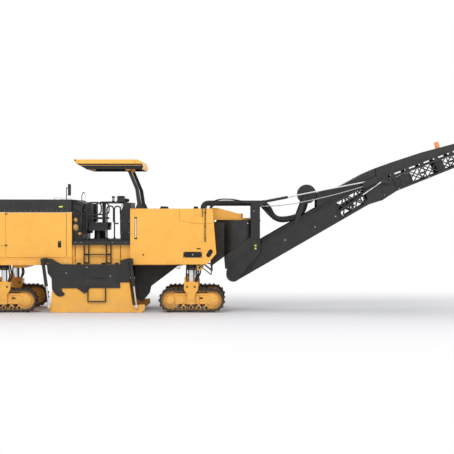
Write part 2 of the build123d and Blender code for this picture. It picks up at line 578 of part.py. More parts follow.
# ================================================================ cutting gear
DRUM_RADIUS = 510.0          # over the teeth
DRUM_Z = 560.0
DRUM_HALF = 1090.0
DRUM_CORE = 370.0
HOLDER_RADIUS = 455.0
HOLDER_WIDTH = 70.0
TOOTH_WIDTH = 34.0
TOOTH_ROWS = 14
TEETH_PER_ROW = 8
ROW_TWIST = 17.0             # each row is turned on from the last
HOUSING_SHEET = 30.0
HOUSING_HALF = 1165.0
HOUSING_BOTTOM = 640.0
AXLE_RADIUS = 130.0
with BuildPart() as milling_drum:
    cross_cylinder(DRUM_X, DRUM_Z, DRUM_CORE, (-DRUM_HALF, DRUM_HALF))
    cross_cylinder(DRUM_X, DRUM_Z, AXLE_RADIUS, (-HOUSING_HALF + 1.0, HOUSING_HALF - 1.0))
    row_pitch = 2 * DRUM_HALF / TOOTH_ROWS
    for row in range(TOOTH_ROWS):
        row_y = -DRUM_HALF + (row + 0.5) * row_pitch
        twist = ROW_TWIST * abs(row - (TOOTH_ROWS - 1) / 2)
        with BuildSketch(Plane.XZ.offset(-row_y - HOLDER_WIDTH / 2)):
            with Locations((DRUM_X, DRUM_Z)):
                Circle(DRUM_CORE + 2.0)
                with PolarLocations((DRUM_CORE + HOLDER_RADIUS) / 2, TEETH_PER_ROW, twist):
                    Rectangle(HOLDER_RADIUS - DRUM_CORE + 20.0, 90.0)
        extrude(amount=HOLDER_WIDTH)
        with BuildSketch(Plane.XZ.offset(-row_y - TOOTH_WIDTH / 2)):
            with Locations((DRUM_X, DRUM_Z)):
                with PolarLocations((HOLDER_RADIUS + DRUM_RADIUS) / 2 - 10.0, TEETH_PER_ROW, twist + 3.0):
                    Trapezoid(34.0, DRUM_RADIUS - HOLDER_RADIUS + 18.0, 80.0, rotation=-90.0)
        extrude(amount=TOOTH_WIDTH)
milling_drum.part.label = "milling_drum"
export_step(milling_drum.part, "parts/milling_drum.step")

with BuildPart() as drum_housing:
    low_x, high_x = DRUM_HOUSING_X
    block((low_x, high_x), (-HOUSING_HALF, HOUSING_HALF), (HOUSING_BOTTOM, CHASSIS_BOTTOM))
    block((low_x + HOUSING_SHEET, high_x - HOUSING_SHEET),
          (-HOUSING_HALF + HOUSING_SHEET, HOUSING_HALF - HOUSING_SHEET),
          (HOUSING_BOTTOM, CHASSIS_BOTTOM - HOUSING_SHEET), Mode.SUBTRACT)
    # bearing cheeks that carry the drum, and the mouth to the conveyor
    for side in (-1, 1):
        low, high = sorted((side * (HOUSING_HALF - HOUSING_SHEET), side * HOUSING_HALF))
        block((DRUM_X - 220.0, DRUM_X + 220.0), (low, high), (DRUM_Z - 200.0, HOUSING_BOTTOM + 20.0))
    cross_cylinder(DRUM_X, DRUM_Z, AXLE_RADIUS + PIN_GAP, (-HOUSING_HALF, HOUSING_HALF), Mode.SUBTRACT)
    block((high_x - HOUSING_SHEET, high_x), (-PRIMARY_HALF - 20.0, PRIMARY_HALF + 20.0),
          (HOUSING_BOTTOM, 1000.0), Mode.SUBTRACT)
    for side in (-1, 1):
        low, high = sorted((side * (PRIMARY_HALF + 20.0), side * (HOUSING_HALF - 60.0)))
        block((high_x - HOUSING_SHEET, high_x), (low, high), (260.0, HOUSING_BOTTOM))
drum_housing.part.label = "drum_housing"
export_step(drum_housing.part, "parts/drum_housing.step")

# side plates: (x from the front legs, z) corners when lowered
PLATE_Y = (1185.0, 1215.0)
SKID_Y = (1172.0, 1222.0)
PLATE_LEAN = 7.7             # the plates slide up and back at this angle from upright
PLATE_BOTTOM = 6.0
SIDE_PLATE = ((-3660.0, 30.0), (-1290.0, 30.0), (-1200.0, 95.0), (-1215.0, 215.0), (-1530.0, 195.0),
              (-1612.0, 790.0), (-1850.0, 790.0), (-1872.0, 650.0), (-3330.0, 650.0),
              (-3640.0, 560.0), (-3655.0, 225.0), (-3735.0, 210.0), (-3725.0, 90.0))
SKID = ((-3640.0, PLATE_BOTTOM), (-1300.0, PLATE_BOTTOM), (-1205.0, 90.0), (-1225.0, 110.0),
        (-1310.0, 46.0), (-3630.0, 46.0), (-3705.0, 100.0), (-3722.0, 80.0))
ROD_RADIUS = 22.0
BARREL_RADIUS = 45.0
CYLINDER_Y = 1296.0
PLATE_CYLINDERS = (                      # foot x from the front legs, foot z
    (-1418.0, 165.0),
    (-3700.0, 165.0),
)
BARREL_BOTTOM_Z = 690.0
ROD_TOP_Z = BARREL_BOTTOM_Z + 230.0


def plate_line(foot_x, foot_z, z):
    """x of a plate cylinder at a height, from its foot."""
    return FRONT_LEG_X + foot_x - (z - foot_z) * tan(radians(PLATE_LEAN))


for name, side in (("right", -1), ("left", 1)):
    with BuildPart() as side_plate:
        slab([(FRONT_LEG_X + x, z) for x, z in SIDE_PLATE], PLATE_Y[0], PLATE_Y[1], side)
        slab([(FRONT_LEG_X + x, z) for x, z in SKID], SKID_Y[0], SKID_Y[1], side)
        for foot_x, foot_z in PLATE_CYLINDERS:
            low, high = sorted((side * (PLATE_Y[1] - 5.0), side * (CYLINDER_Y - 24.0)))
            block((FRONT_LEG_X + foot_x - 40.0, FRONT_LEG_X + foot_x + 40.0), (low, high),
                  (foot_z - 55.0, foot_z + 30.0))
    side_plate.part.label = "side_plate_" + name
    export_step(side_plate.part, "parts/side_plate_" + name + ".step")

    with BuildPart() as plate_rods:
        for foot_x, foot_z in PLATE_CYLINDERS:
            y = side * CYLINDER_Y
            rod_between((plate_line(foot_x, foot_z, foot_z), y, foot_z),
                        (plate_line(foot_x, foot_z, ROD_TOP_Z), y, ROD_TOP_Z), ROD_RADIUS)
            low, high = sorted((side * (CYLINDER_Y - 24.0), side * (CYLINDER_Y + 24.0)))
            cross_cylinder(FRONT_LEG_X + foot_x, foot_z, 36.0, (low, high))
    plate_rods.part.label = "plate_rods_" + name
    export_step(plate_rods.part, "parts/plate_rods_" + name + ".step")

BARREL_TOP_Z = 1335.0
COVER_Y = (1228.0, 1246.0)   # shields outside the side plates
SHIELD = ((-3500.0, 1262.0), (-1850.0, 1262.0), (-1850.0, 645.0), (-2640.0, 645.0),
          (-2740.0, 512.0), (-2800.0, 512.0), (-2980.0, 640.0), (-3500.0, 640.0))
REAR_COVER = ((-3770.0, 1262.0), (-3500.0, 1262.0), (-3500.0, 655.0), (-3400.0, 700.0),
              (-3360.0, 560.0), (-3290.0, 490.0), (-3345.0, 435.0), (-3450.0, 420.0),
              (-3540.0, 480.0), (-3630.0, 600.0), (-3645.0, 900.0), (-3740.0, 1030.0))
REAR_WEDGE = ((-3870.0, 1430.0), (-3640.0, 1410.0), (-3440.0, 1300.0), (-3360.0, 1260.0),
              (-3660.0, 1250.0), (-3800.0, 1340.0))
FRONT_COVER = ((-1850.0, 1360.0), (-1640.0, 1425.0), (-1565.0, 1425.0), (-1540.0, 1262.0),
               (-1600.0, 800.0), (-1850.0, 800.0))
STEP_X = (-2640.0, -2220.0)
STEP_Z = 910.0
HANGER_X = (-2690.0, -2230.0)
HANGER_Z = (280.0, 620.0)
with BuildPart() as drum_side_covers:
    for side in (-1, 1):
        for corners in (SHIELD, REAR_COVER, REAR_WEDGE, FRONT_COVER):
            slab([(FRONT_LEG_X + x, z) for x, z in corners], COVER_Y[0], COVER_Y[1], side)
        # top flange back to the frame, under and along the body side
        low, high = sorted((side * BAND_HALF, side * COVER_Y[1]))
        block((FRONT_LEG_X - 3930.0, HOUSING_FRONT_X), (low, high),
              (CHASSIS_BOTTOM + 2.0, CHASSIS_BOTTOM + 22.0))
        low, high = sorted((side * BAY_HALF, side * COVER_Y[1]))
        block((HOUSING_FRONT_X, PLATFORM_FRONT_X), (low, high), (CHASSIS_BOTTOM + 2.0, CHASSIS_BOTTOM + 20.0))
        # step shelf pressed into the shield
        low, high = sorted((side * (COVER_Y[1] - 2.0), side * (COVER_Y[1] + 30.0)))
        block((FRONT_LEG_X + STEP_X[0], FRONT_LEG_X + STEP_X[1]), (low, high), (STEP_Z - 10.0, STEP_Z + 10.0))
        # hanging lower step, a U of flat bar
        for bar_x in HANGER_X:
            block((FRONT_LEG_X + bar_x - 14.0, FRONT_LEG_X + bar_x + 14.0), (low, high),
                  (HANGER_Z[0], 700.0))
        block((FRONT_LEG_X + HANGER_X[0] - 14.0, FRONT_LEG_X + HANGER_X[1] + 14.0), (low, high),
              (HANGER_Z[0], HANGER_Z[0] + 28.0))
        # cylinder barrels, bored for the rods, under brackets on the body side
        for foot_x, foot_z in PLATE_CYLINDERS:
            top_x = plate_line(foot_x, foot_z, BARREL_TOP_Z)
            low, high = sorted((side * BODY_HALF, side * (CYLINDER_Y - BARREL_RADIUS - 4.0)))
            block((top_x - 60.0, top_x + 60.0), (low, high), (CHASSIS_BOTTOM + 10.0, BARREL_TOP_Z + 80.0))
            low, high = sorted((side * BODY_HALF, side * (CYLINDER_Y + 30.0)))
            block((top_x - 60.0, top_x + 60.0), (low, high), (BARREL_TOP_Z - 10.0, BARREL_TOP_Z + 80.0))
            y = side * CYLINDER_Y
            rod_between((plate_line(foot_x, foot_z, BARREL_BOTTOM_Z), y, BARREL_BOTTOM_Z),
                        (plate_line(foot_x, foot_z, BARREL_TOP_Z), y, BARREL_TOP_Z), BARREL_RADIUS)
            bore_top = BARREL_TOP_Z - 40.0
            rod_between((plate_line(foot_x, foot_z, BARREL_BOTTOM_Z - 30.0), y, BARREL_BOTTOM_Z - 30.0),
                        (plate_line(foot_x, foot_z, bore_top), y, bore_top),
                        ROD_RADIUS + PIN_GAP, Mode.SUBTRACT)
drum_side_covers.part.label = "drum_side_covers"
export_step(drum_side_covers.part, "parts/drum_side_covers.step")

# scraper that follows the drum, sliding in front of the rear wall of the housing
MOLDBOARD_X = (DRUM_HOUSING_X[0] - 75.0, DRUM_HOUSING_X[0] - GAP)
MOLDBOARD_Z = (30.0, 900.0)
with BuildPart() as moldboard:
    block((MOLDBOARD_X[0] + 40.0, MOLDBOARD_X[1]), (-1120.0, 1120.0), MOLDBOARD_Z)
    for y in (-1000.0, -500.0, 0.0, 500.0, 1000.0):
        block((MOLDBOARD_X[0], MOLDBOARD_X[1] - 10.0), (y - 20.0, y + 20.0),
              (MOLDBOARD_Z[0] + 60.0, MOLDBOARD_Z[1]))
    block((MOLDBOARD_X[0], MOLDBOARD_X[1] - 10.0), (-1120.0, 1120.0), (MOLDBOARD_Z[0], MOLDBOARD_Z[0] + 60.0))
moldboard.part.label = "moldboard"
export_step(moldboard.part, "parts/moldboard.step")

# -------------------------------- conveyor from the drum up through the body
PRIMARY_SHEET = 25.0
PRIMARY_PULLEY = 105.0
HANGER_SHEET = 14.0
HANGER_PLATE = ((-1520.0, 1235.0), (-460.0, 1235.0), (-520.0, 1140.0), (-740.0, 985.0), (-990.0, 860.0),
                (-1030.0, 720.0), (-1125.0, 620.0), (-1170.0, 420.0), (-1330.0, 230.0), (-1450.0, 300.0),
                (-1520.0, 440.0))
HANGER_WINDOW = ((-1380.0, 640.0), (-1240.0, 640.0), (-1065.0, 745.0), (-1110.0, 805.0))
with BuildPart() as primary_conveyor:
    # a trough: two sides, a floor and rounded ends carried on pulleys
    for side in (-1, 1):
        slab(sloped_box(PRIMARY_TAIL, PRIMARY_ANGLE, (0.0, PRIMARY_LENGTH), (-PRIMARY_DEPTH, PRIMARY_DEPTH)),
             PRIMARY_HALF - PRIMARY_SHEET, PRIMARY_HALF, side)
    extrude(outline(sloped_box(PRIMARY_TAIL, PRIMARY_ANGLE, (260.0, PRIMARY_LENGTH - 120.0),
                               (-PRIMARY_DEPTH, -PRIMARY_DEPTH + 20.0))),
            amount=PRIMARY_HALF - 2.0, both=True)
    # plates that hang the trough from the frame, each with a window
    for side in (-1, 1):
        plate = outline([(FRONT_LEG_X + x, z) for x, z in HANGER_PLATE])
        plate -= outline([(FRONT_LEG_X + x, z) for x, z in HANGER_WINDOW])
        placed = plate.moved(Location((0, side * (PRIMARY_HALF + HANGER_SHEET), 0)))
        extrude(placed, amount=side * (HANGER_SHEET + 2.0))
    for place in (PRIMARY_PULLEY + 20.0, PRIMARY_LENGTH - PRIMARY_PULLEY - 20.0):
        x, z = sloped(PRIMARY_TAIL, PRIMARY_ANGLE, place, 0.0)
        cross_cylinder(x, z, PRIMARY_PULLEY - 12.0, (-PRIMARY_HALF + 2.0, PRIMARY_HALF - 2.0))
    for side in (-1, 1):
        low, high = sorted((side * (PRIMARY_HALF - 2.0), side * (TUNNEL_HALF + 10.0)))
        x, z = sloped(PRIMARY_TAIL, PRIMARY_ANGLE, 1150.0, 40.0)
        block((x - 60.0, x + 60.0), (low, high), (z - 60.0, z + 60.0))
    # the belt, resting on its pulleys
    with BuildSketch(Plane.XZ) as belt:
        x, z = sloped(PRIMARY_TAIL, PRIMARY_ANGLE, PRIMARY_LENGTH / 2, 0.0)
        with Locations(Location((x, z, 0), (0, 0, PRIMARY_ANGLE))):
            SlotCenterToCenter(PRIMARY_LENGTH - 2 * PRIMARY_PULLEY - 40.0, 2 * PRIMARY_PULLEY)
            SlotCenterToCenter(PRIMARY_LENGTH - 2 * PRIMARY_PULLEY - 40.0, 2 * PRIMARY_PULLEY - 28.0,
                               mode=Mode.SUBTRACT)
    extrude(belt.sketch, amount=PRIMARY_HALF - PRIMARY_SHEET - 5.0, both=True)
primary_conveyor.part.label = "primary_conveyor"
export_step(primary_conveyor.part, "parts/primary_conveyor.step")

# ================================================================ slewing frame
SLEW_RING_Z = 2420.0         # underside of the fixed ring plate
BRACKET_HALF = 260.0
BRACKET_RING = 330.0
SLEW_PIN = 60.0
SHROUD_RADIUS = 600.0
SHROUD_SHEET = 20.0
HEAD_PLATE = 40.0
HEAD_GAP = 3.0
MAST_X = (SLEW_X + 330.0, SLEW_X + 570.0)
MAST_Y = (560.0, 640.0)
MAST_Z = (1550.0, 2910.0)
DUCT_RADIUS = 70.0           # a pair of dust ducts runs from the body over the masts
DUCT_FOOT_X = FRONT_LEG_X + 300.0
DUCT_Y = 165.0
DUCT_Z = 2870.0
DUCT_BEND = 130.0
HOPPER_SHEET = (602.0, 622.0)
HOPPER_REAR_X = FRONT_LEG_X + 862.0      # swings clear of the body's flat front
with BuildPart() as slew_bracket:
    # yellow arm from the body to a ring plate over the transfer shroud
    block((BODY_FRONT_X, SLEW_X), (-BRACKET_HALF, BRACKET_HALF), (SLEW_RING_Z, SLEW_RING_Z + 50.0))
    upright_cylinder(SLEW_X, 0.0, BRACKET_RING, (SLEW_RING_Z, SLEW_RING_Z + 50.0))
    for side in (-1, 1):
        low, high = sorted((side * (BRACKET_HALF - 40.0), side * BRACKET_HALF))
        with BuildSketch(Plane.XZ.offset(-low)) as web:
            with BuildLine():
                Polyline((BODY_FRONT_X, SLEW_RING_Z + 40.0), (SLEW_X + 70.0, SLEW_RING_Z + 40.0),
                         (SLEW_X + 70.0, SLEW_RING_Z + 150.0), (BODY_FRONT_X + 180.0, 2745.0),
                         (BODY_FRONT_X, 2745.0), close=True)
            make_face()
        extrude(web.sketch, amount=-(high - low))
    upright_cylinder(SLEW_X, 0.0, 120.0, (SLEW_RING_Z + 40.0, SLEW_RING_Z + 170.0))
    upright_cylinder(SLEW_X, 0.0, SLEW_PIN, (SLEW_RING_Z - 75.0, SLEW_RING_Z + 10.0))
slew_bracket.part.label = "slew_bracket"
export_step(slew_bracket.part, "parts/slew_bracket.step")

# the discharge conveyor hinges on its tail shaft, low between the arms of the slewing frame
TAIL_X = FRONT_LEG_X + 1110.0
TAIL_Z = 967.0
TAIL_RADIUS = 190.0
TRUNNION_RADIUS = 60.0
ARM_SHOULDER = (TAIL_X - 106.0, TAIL_Z + 158.0)  # upper edge of the arms
ARM_HEEL = (MAST_X[0], 1560.0)
LIFT_PIVOT = (FRONT_LEG_X + 1920.0, 2905.0)      # lift barrels, on the masts
LIFT_EYE = (FRONT_LEG_X + 4855.0, 3474.0)        # lift rods, on the lower section
LIFT_Y = 600.0
HEAD_TOP = SLEW_RING_Z - HEAD_GAP
HEAD_BOTTOM = HEAD_TOP - HEAD_PLATE
with BuildPart() as slewing_frame:
    upright_cylinder(SLEW_X, 0.0, SHROUD_RADIUS, (HEAD_BOTTOM, HEAD_TOP))
    block((MAST_X[0] + 20.0, MAST_X[1] - 20.0), (-MAST_Y[0] - 5.0, MAST_Y[0] + 5.0),
          (HEAD_BOTTOM - 60.0, HEAD_TOP + 30.0))
    for side in (-1, 1):
        low, high = sorted((side * MAST_Y[0], side * MAST_Y[1]))
        block(MAST_X, (low, high), MAST_Z)
        # arm from the foot of the mast down to the tail shaft
        cross_cylinder(TAIL_X, TAIL_Z, TAIL_RADIUS, (low, high))
        slab([ARM_SHOULDER, (TAIL_X + 60.0, TAIL_Z - 180.0),
              (TAIL_X + 190.0, TAIL_Z - 20.0), (MAST_X[1], 1560.0), (MAST_X[1], 1800.0),
              (MAST_X[0], 1800.0), ARM_HEEL], MAST_Y[0], MAST_Y[1], side)
        # sheet that closes the side between the arm and the transfer shroud
        slab([(HOPPER_REAR_X, 1448.0), (HOPPER_REAR_X + 30.0, 1118.0), ARM_SHOULDER, ARM_HEEL,
              (MAST_X[0], 1975.0)], HOPPER_SHEET[0], HOPPER_SHEET[1], side)
        # ear for the lift barrel at the top of the mast, inside and outside of it
        slab([(MAST_X[1] - 60.0, 2700.0), (MAST_X[1] + 40.0, 2800.0), (LIFT_PIVOT[0] + 45.0, 2870.0),
              (LIFT_PIVOT[0] + 45.0, 2945.0), (LIFT_PIVOT[0] - 30.0, 2945.0), (MAST_X[1] - 60.0, 2910.0)],
             MAST_Y[0] - 18.0, MAST_Y[0] + 2.0, side)
        slab([(MAST_X[1] - 60.0, 2700.0), (MAST_X[1] + 40.0, 2800.0), (LIFT_PIVOT[0] + 45.0, 2870.0),
              (LIFT_PIVOT[0] + 45.0, 2945.0), (LIFT_PIVOT[0] - 30.0, 2945.0), (MAST_X[1] - 60.0, 2910.0)],
             MAST_Y[1] - 2.0, MAST_Y[1] + 18.0, side)
        cross_cylinder(LIFT_PIVOT[0], LIFT_PIVOT[1], 18.0,
                       tuple(sorted((side * (MAST_Y[0] - 18.0), side * (MAST_Y[1] + 18.0)))))
        cross_cylinder(TAIL_X, TAIL_Z, TRUNNION_RADIUS + PIN_GAP,
                       tuple(sorted((side * (MAST_Y[0] - 5.0), side * (MAST_Y[1] + 5.0)))), Mode.SUBTRACT)
    block((MAST_X[0] + 60.0, MAST_X[1] - 60.0), (-MAST_Y[0] - 5.0, MAST_Y[0] + 5.0), (2780.0, 2870.0))
    # duct stubs carried on the cross beam of the masts
    for side in (-1, 1):
        rod_between((SLEW_X + 200.0, side * DUCT_Y, DUCT_Z), (MAST_X[1] + 20.0, side * DUCT_Y, DUCT_Z),
                    DUCT_RADIUS)
    upright_cylinder(SLEW_X, 0.0, SLEW_PIN + PIN_GAP, (HEAD_BOTTOM - 100.0, HEAD_TOP + 50.0),
                     Mode.SUBTRACT)
slewing_frame.part.label = "slewing_frame"
export_step(slewing_frame.part, "parts/slewing_frame.step")

SHROUD_LOW = (FRONT_LEG_X + 690.0, 1320.0)
SHROUD_SLOPE = 36.7
SHROUD_MOUTH = (1420.0, 2250.0)
with BuildPart() as transfer_shroud:
    upright_cylinder(SLEW_X, 0.0, SHROUD_RADIUS, (SHROUD_LOW[1] - 50.0, HEAD_BOTTOM))
    upright_cylinder(SLEW_X, 0.0, SHROUD_RADIUS - SHROUD_SHEET, (SHROUD_LOW[1] - 50.0, HEAD_BOTTOM),
                     Mode.SUBTRACT)
    # everything below the sloping lower edge is open for the conveyor
    extrude(outline(sloped_box(SHROUD_LOW, SHROUD_SLOPE, (-700.0, 2200.0), (-1500.0, 0.0))),
            amount=SHROUD_RADIUS + 10.0, both=True, mode=Mode.SUBTRACT)
    # mouth at the back where the conveyor under the body throws in
    block((SLEW_X - SHROUD_RADIUS - 10.0, SLEW_X - 200.0), (-PRIMARY_HALF, PRIMARY_HALF),
          SHROUD_MOUTH, Mode.SUBTRACT)
    # the front side stays clear of the masts' cross beam
    block((MAST_X[0] - 10.0, SLEW_X + SHROUD_RADIUS + 10.0), (-SHROUD_RADIUS, SHROUD_RADIUS),
          (SHROUD_LOW[1], HEAD_BOTTOM), Mode.SUBTRACT)
transfer_shroud.part.label = "transfer_shroud"
export_step(transfer_shroud.part, "parts/transfer_shroud.step")

# ================================================================ discharge conveyor
LOWER_ANGLE = 30.0
LOWER_SIDE_Y = (500.0, 530.0)
LOWER_UNDER = 190.0          # side panel below and above the line of the tail shaft
LOWER_OVER = 346.0
LOWER_SOLID_END = 3280.0     # plain panel up to here, lattice beyond
LOWER_END = 4440.0
FOLD_HINGE = (FRONT_LEG_X + 5050.0, 2990.0)
FOLD_PIN = 30.0
CHORD = 70.0
BRACE = 36.0
BELT_THICKNESS = 14.0
BELT_HALF = 460.0
TAIL_PULLEY = 140.0
CROSS_TUBE = 32.0
TAIL = (TAIL_X, TAIL_Z)


def brace(start, end, place, width):
    """Flat bar of the lattice between two (along, rise) points, in the open sketch."""
    run = hypot(end[0] - start[0], end[1] - start[1])
    side_s = -(end[1] - start[1]) / run * width / 2
    side_t = (end[0] - start[0]) / run * width / 2
    Polygon(place(start[0] - side_s, start[1] - side_t), place(end[0] - side_s, end[1] - side_t),
            place(end[0] + side_s, end[1] + side_t), place(start[0] + side_s, start[1] + side_t),
            align=None)


def chord(place, first, last, low_at, width):
    """Rail of one width along a line, from one station to another, in the open sketch."""
    Polygon(place(first, low_at(first)), place(last, low_at(last)),
            place(last, low_at(last) + width), place(first, low_at(first) + width), align=None)


def lattice(place, stations, low_at, high_at, rail, bar):
    """Chords, posts and crossed braces between two lines, in the open sketch."""
    first, last = stations[0], stations[-1]
    chord(place, first, last, low_at, rail)
    chord(place, first, last, lambda s: high_at(s) - rail, rail)
    for station in stations:
        brace((station, low_at(station)), (station, high_at(station)), place, bar)
    for left, right in zip(stations, stations[1:]):
        low_left, high_left = low_at(left) + rail / 2, high_at(left) - rail / 2
        low_right, high_right = low_at(right) + rail / 2, high_at(right) - rail / 2
        brace((left, low_left), (right, high_right), place, bar)
        brace((left, high_left), (right, low_right), place, bar)


def lower_place(s, t):
    return sloped(TAIL, LOWER_ANGLE, s, t)


FOLD_Y = 575.0
FOLD_PIVOT = lower_place(3250.0, 40.0)
FOLD_PIVOT_PIN = 20.0
LIFT_EARS = ((540.0, 556.0), (644.0, 660.0))
LIFT_SPACER = 26.0
LOWER_STATIONS = (LOWER_SOLID_END, 3660.0, 4040.0, LOWER_END - 40.0)
LOWER_CROSS = (700.0, 1500.0, 2300.0, 3100.0, 3700.0, 4260.0)
with BuildPart() as conveyor_lower:
    # right side: plain panel, lattice and hinge knuckle in one sheet
    with BuildSketch(Plane.XZ.offset(LOWER_SIDE_Y[0])):
        with Locations(TAIL):
            Circle(TAIL_RADIUS)
        Polygon(lower_place(0.0, -LOWER_UNDER), lower_place(LOWER_SOLID_END + 20.0, -LOWER_UNDER),
                lower_place(LOWER_SOLID_END + 20.0, LOWER_OVER), lower_place(300.0, LOWER_OVER),
                lower_place(-100.0, 160.0), align=None)
        lattice(lower_place, LOWER_STATIONS, lambda s: -LOWER_UNDER, lambda s: LOWER_OVER,
                CHORD, BRACE)
        # closed plate that ends the section and carries the fold hinge
        Polygon(lower_place(LOWER_END - 380.0, -LOWER_UNDER), (FOLD_HINGE[0] - 30.0, FOLD_HINGE[1] - 62.0),
                (FOLD_HINGE[0] + 45.0, FOLD_HINGE[1] - 45.0), (FOLD_HINGE[0] + 60.0, FOLD_HINGE[1] + 30.0),
                (FOLD_HINGE[0] + 20.0, FOLD_HINGE[1] + 230.0), (FOLD_HINGE[0] - 125.0, FOLD_HINGE[1] + 490.0),
                lower_place(LOWER_END - 230.0, LOWER_OVER), align=None)
        with Locations(FOLD_HINGE):
            Circle(FOLD_PIN + PIN_GAP, mode=Mode.SUBTRACT)
    extrude(amount=LOWER_SIDE_Y[1] - LOWER_SIDE_Y[0])
    # trunnion in the arm of the slewing frame
    cross_cylinder(TAIL_X, TAIL_Z, TRUNNION_RADIUS, (-MAST_Y[1] - 10.0, -LOWER_SIDE_Y[0]))
    # ears for the lift rod eye, outside the side, and a spacer that carries them
    for ear in LIFT_EARS:
        slab([(LIFT_EYE[0] - 300.0, LIFT_EYE[1] - 230.0), (LIFT_EYE[0] + 90.0, LIFT_EYE[1] - 60.0),
              (LIFT_EYE[0] + 70.0, LIFT_EYE[1] + 55.0), (LIFT_EYE[0] - 60.0, LIFT_EYE[1] + 45.0),
              (LIFT_EYE[0] - 300.0, LIFT_EYE[1] - 60.0)], ear[0], ear[1], -1)
    x, z = lower_place(LOWER_END - 210.0, LOWER_OVER - 68.0)
    cross_cylinder(x, z, LIFT_SPACER, (-LIFT_EARS[1][1], -LOWER_SIDE_Y[0]))
    # pin for the fold barrel
    cross_cylinder(FOLD_PIVOT[0], FOLD_PIVOT[1], FOLD_PIVOT_PIN, (-FOLD_Y - 40.0, -LOWER_SIDE_Y[0]))
    mirror(about=Plane.XZ)
    for s in LOWER_CROSS:
        x, z = lower_place(s, -10.0)
        cross_cylinder(x, z, CROSS_TUBE, (-LOWER_SIDE_Y[1] + 5.0, LOWER_SIDE_Y[1] - 5.0))
    cross_cylinder(TAIL_X, TAIL_Z, TAIL_PULLEY - BELT_THICKNESS - 1.0,
                   (-LOWER_SIDE_Y[1] + 5.0, LOWER_SIDE_Y[1] - 5.0))
    # deck under the carrying run's cover
    extrude(outline([lower_place(260.0, 150.0), lower_place(LOWER_END - 60.0, 150.0),
                     lower_place(LOWER_END - 60.0, 162.0), lower_place(260.0, 162.0)]),
            amount=LOWER_SIDE_Y[0] + 5.0, both=True)
conveyor_lower.part.label = "conveyor_lower"
export_step(conveyor_lower.part, "parts/conveyor_lower.step")


def belt_loop(origin, angle, centre_s, centre_t, open_s, pulley, half):
    """Belt round one pulley, both runs cut off square at the open end."""
    span = 2 * abs(open_s - centre_s)
    ahead = 1 if open_s > centre_s else -1
    x, z = sloped(origin, angle, open_s, centre_t)
    with BuildSketch(Plane.XZ) as loop:
        with Locations(Location((x, z, 0), (0, 0, angle))):
            SlotCenterToCenter(span, 2 * pulley)
            SlotCenterToCenter(span, 2 * (pulley - BELT_THICKNESS), mode=Mode.SUBTRACT)
            with Locations((ahead * span, 0)):
                Rectangle(2 * span, 4 * pulley, mode=Mode.SUBTRACT)
    return extrude(loop.sketch, amount=half, both=True)


with BuildPart() as belt_lower:
    belt_loop(TAIL, LOWER_ANGLE, 0.0, 0.0, LOWER_END - 150.0, TAIL_PULLEY, BELT_HALF)
belt_lower.part.label = "belt_lower"
export_step(belt_lower.part, "parts/belt_lower.step")

COVER_SHEET = 14.0
COVER_HALF = 480.0
LOWER_COVER = ((3340.0, 3150.0), (4000.0, 3340.0), (4580.0, 3660.0), (4900.0, 3800.0))
with BuildPart() as cover_lower:
    foot = lower_place(2776.0, LOWER_OVER + 2.0)
    top = [(FRONT_LEG_X + x, z) for x, z in LOWER_COVER]
    end = lower_place(LOWER_END - 30.0, LOWER_OVER + 2.0)
    skin = [foot] + top + [(top[-1][0], end[1] + 30.0), end]
    extrude(outline(skin), amount=COVER_HALF, both=True)
    inner_top = [(x - 4.0, z - COVER_SHEET - 2.0) for x, z in top]
    hollow = [(foot[0] - 100.0, foot[1] - 60.0), (foot[0] - 100.0, inner_top[0][1] - 20.0)]
    hollow += inner_top[:-1] + [(inner_top[-1][0] + 60.0, inner_top[-1][1] + 30.0)]
    hollow += [(end[0] + 100.0, end[1] + 60.0), (end[0] + 100.0, end[1] - 60.0)]
    extrude(outline(hollow), amount=COVER_HALF - COVER_SHEET, both=True, mode=Mode.SUBTRACT)
cover_lower.part.label = "cover_lower"
export_step(cover_lower.part, "parts/cover_lower.step")

# upper section, drawn from the fold hinge
UPPER_ANGLE = 21.9
UPPER_SIDE_Y = (460.0, 490.0)
UPPER_LENGTH = 3330.0
UPPER_START = 60.0
UPPER_NEAR = 98.0            # near top corner of the side, clear of the lower cover
UPPER_HANGER = 110.0         # width of the posts between the slots
UPPER_DEPTH_NEAR = 560.0     # side height near the hinge and at the head
UPPER_DEPTH_FAR = 480.0
UPPER_LOW = 30.0             # underside of the side above the line of the hinge
UPPER_RAIL = 50.0
UPPER_BRACE = 28.0
UPPER_SLOT = 52.0            # openings between the top chord and the rail below it
UPPER_BAY = 415.0
UPPER_BAYS = 7
HEAD_X = FRONT_LEG_X + 8000.0
HEAD_PULLEY = 185.0


def upper_place(s, t):
    return sloped(FOLD_HINGE, UPPER_ANGLE, s, t)


def upper_low(s):
    return UPPER_LOW


def upper_high(s):
    share = (s - UPPER_START) / (UPPER_LENGTH - UPPER_START)
    return UPPER_DEPTH_NEAR + (UPPER_DEPTH_FAR - UPPER_DEPTH_NEAR) * share


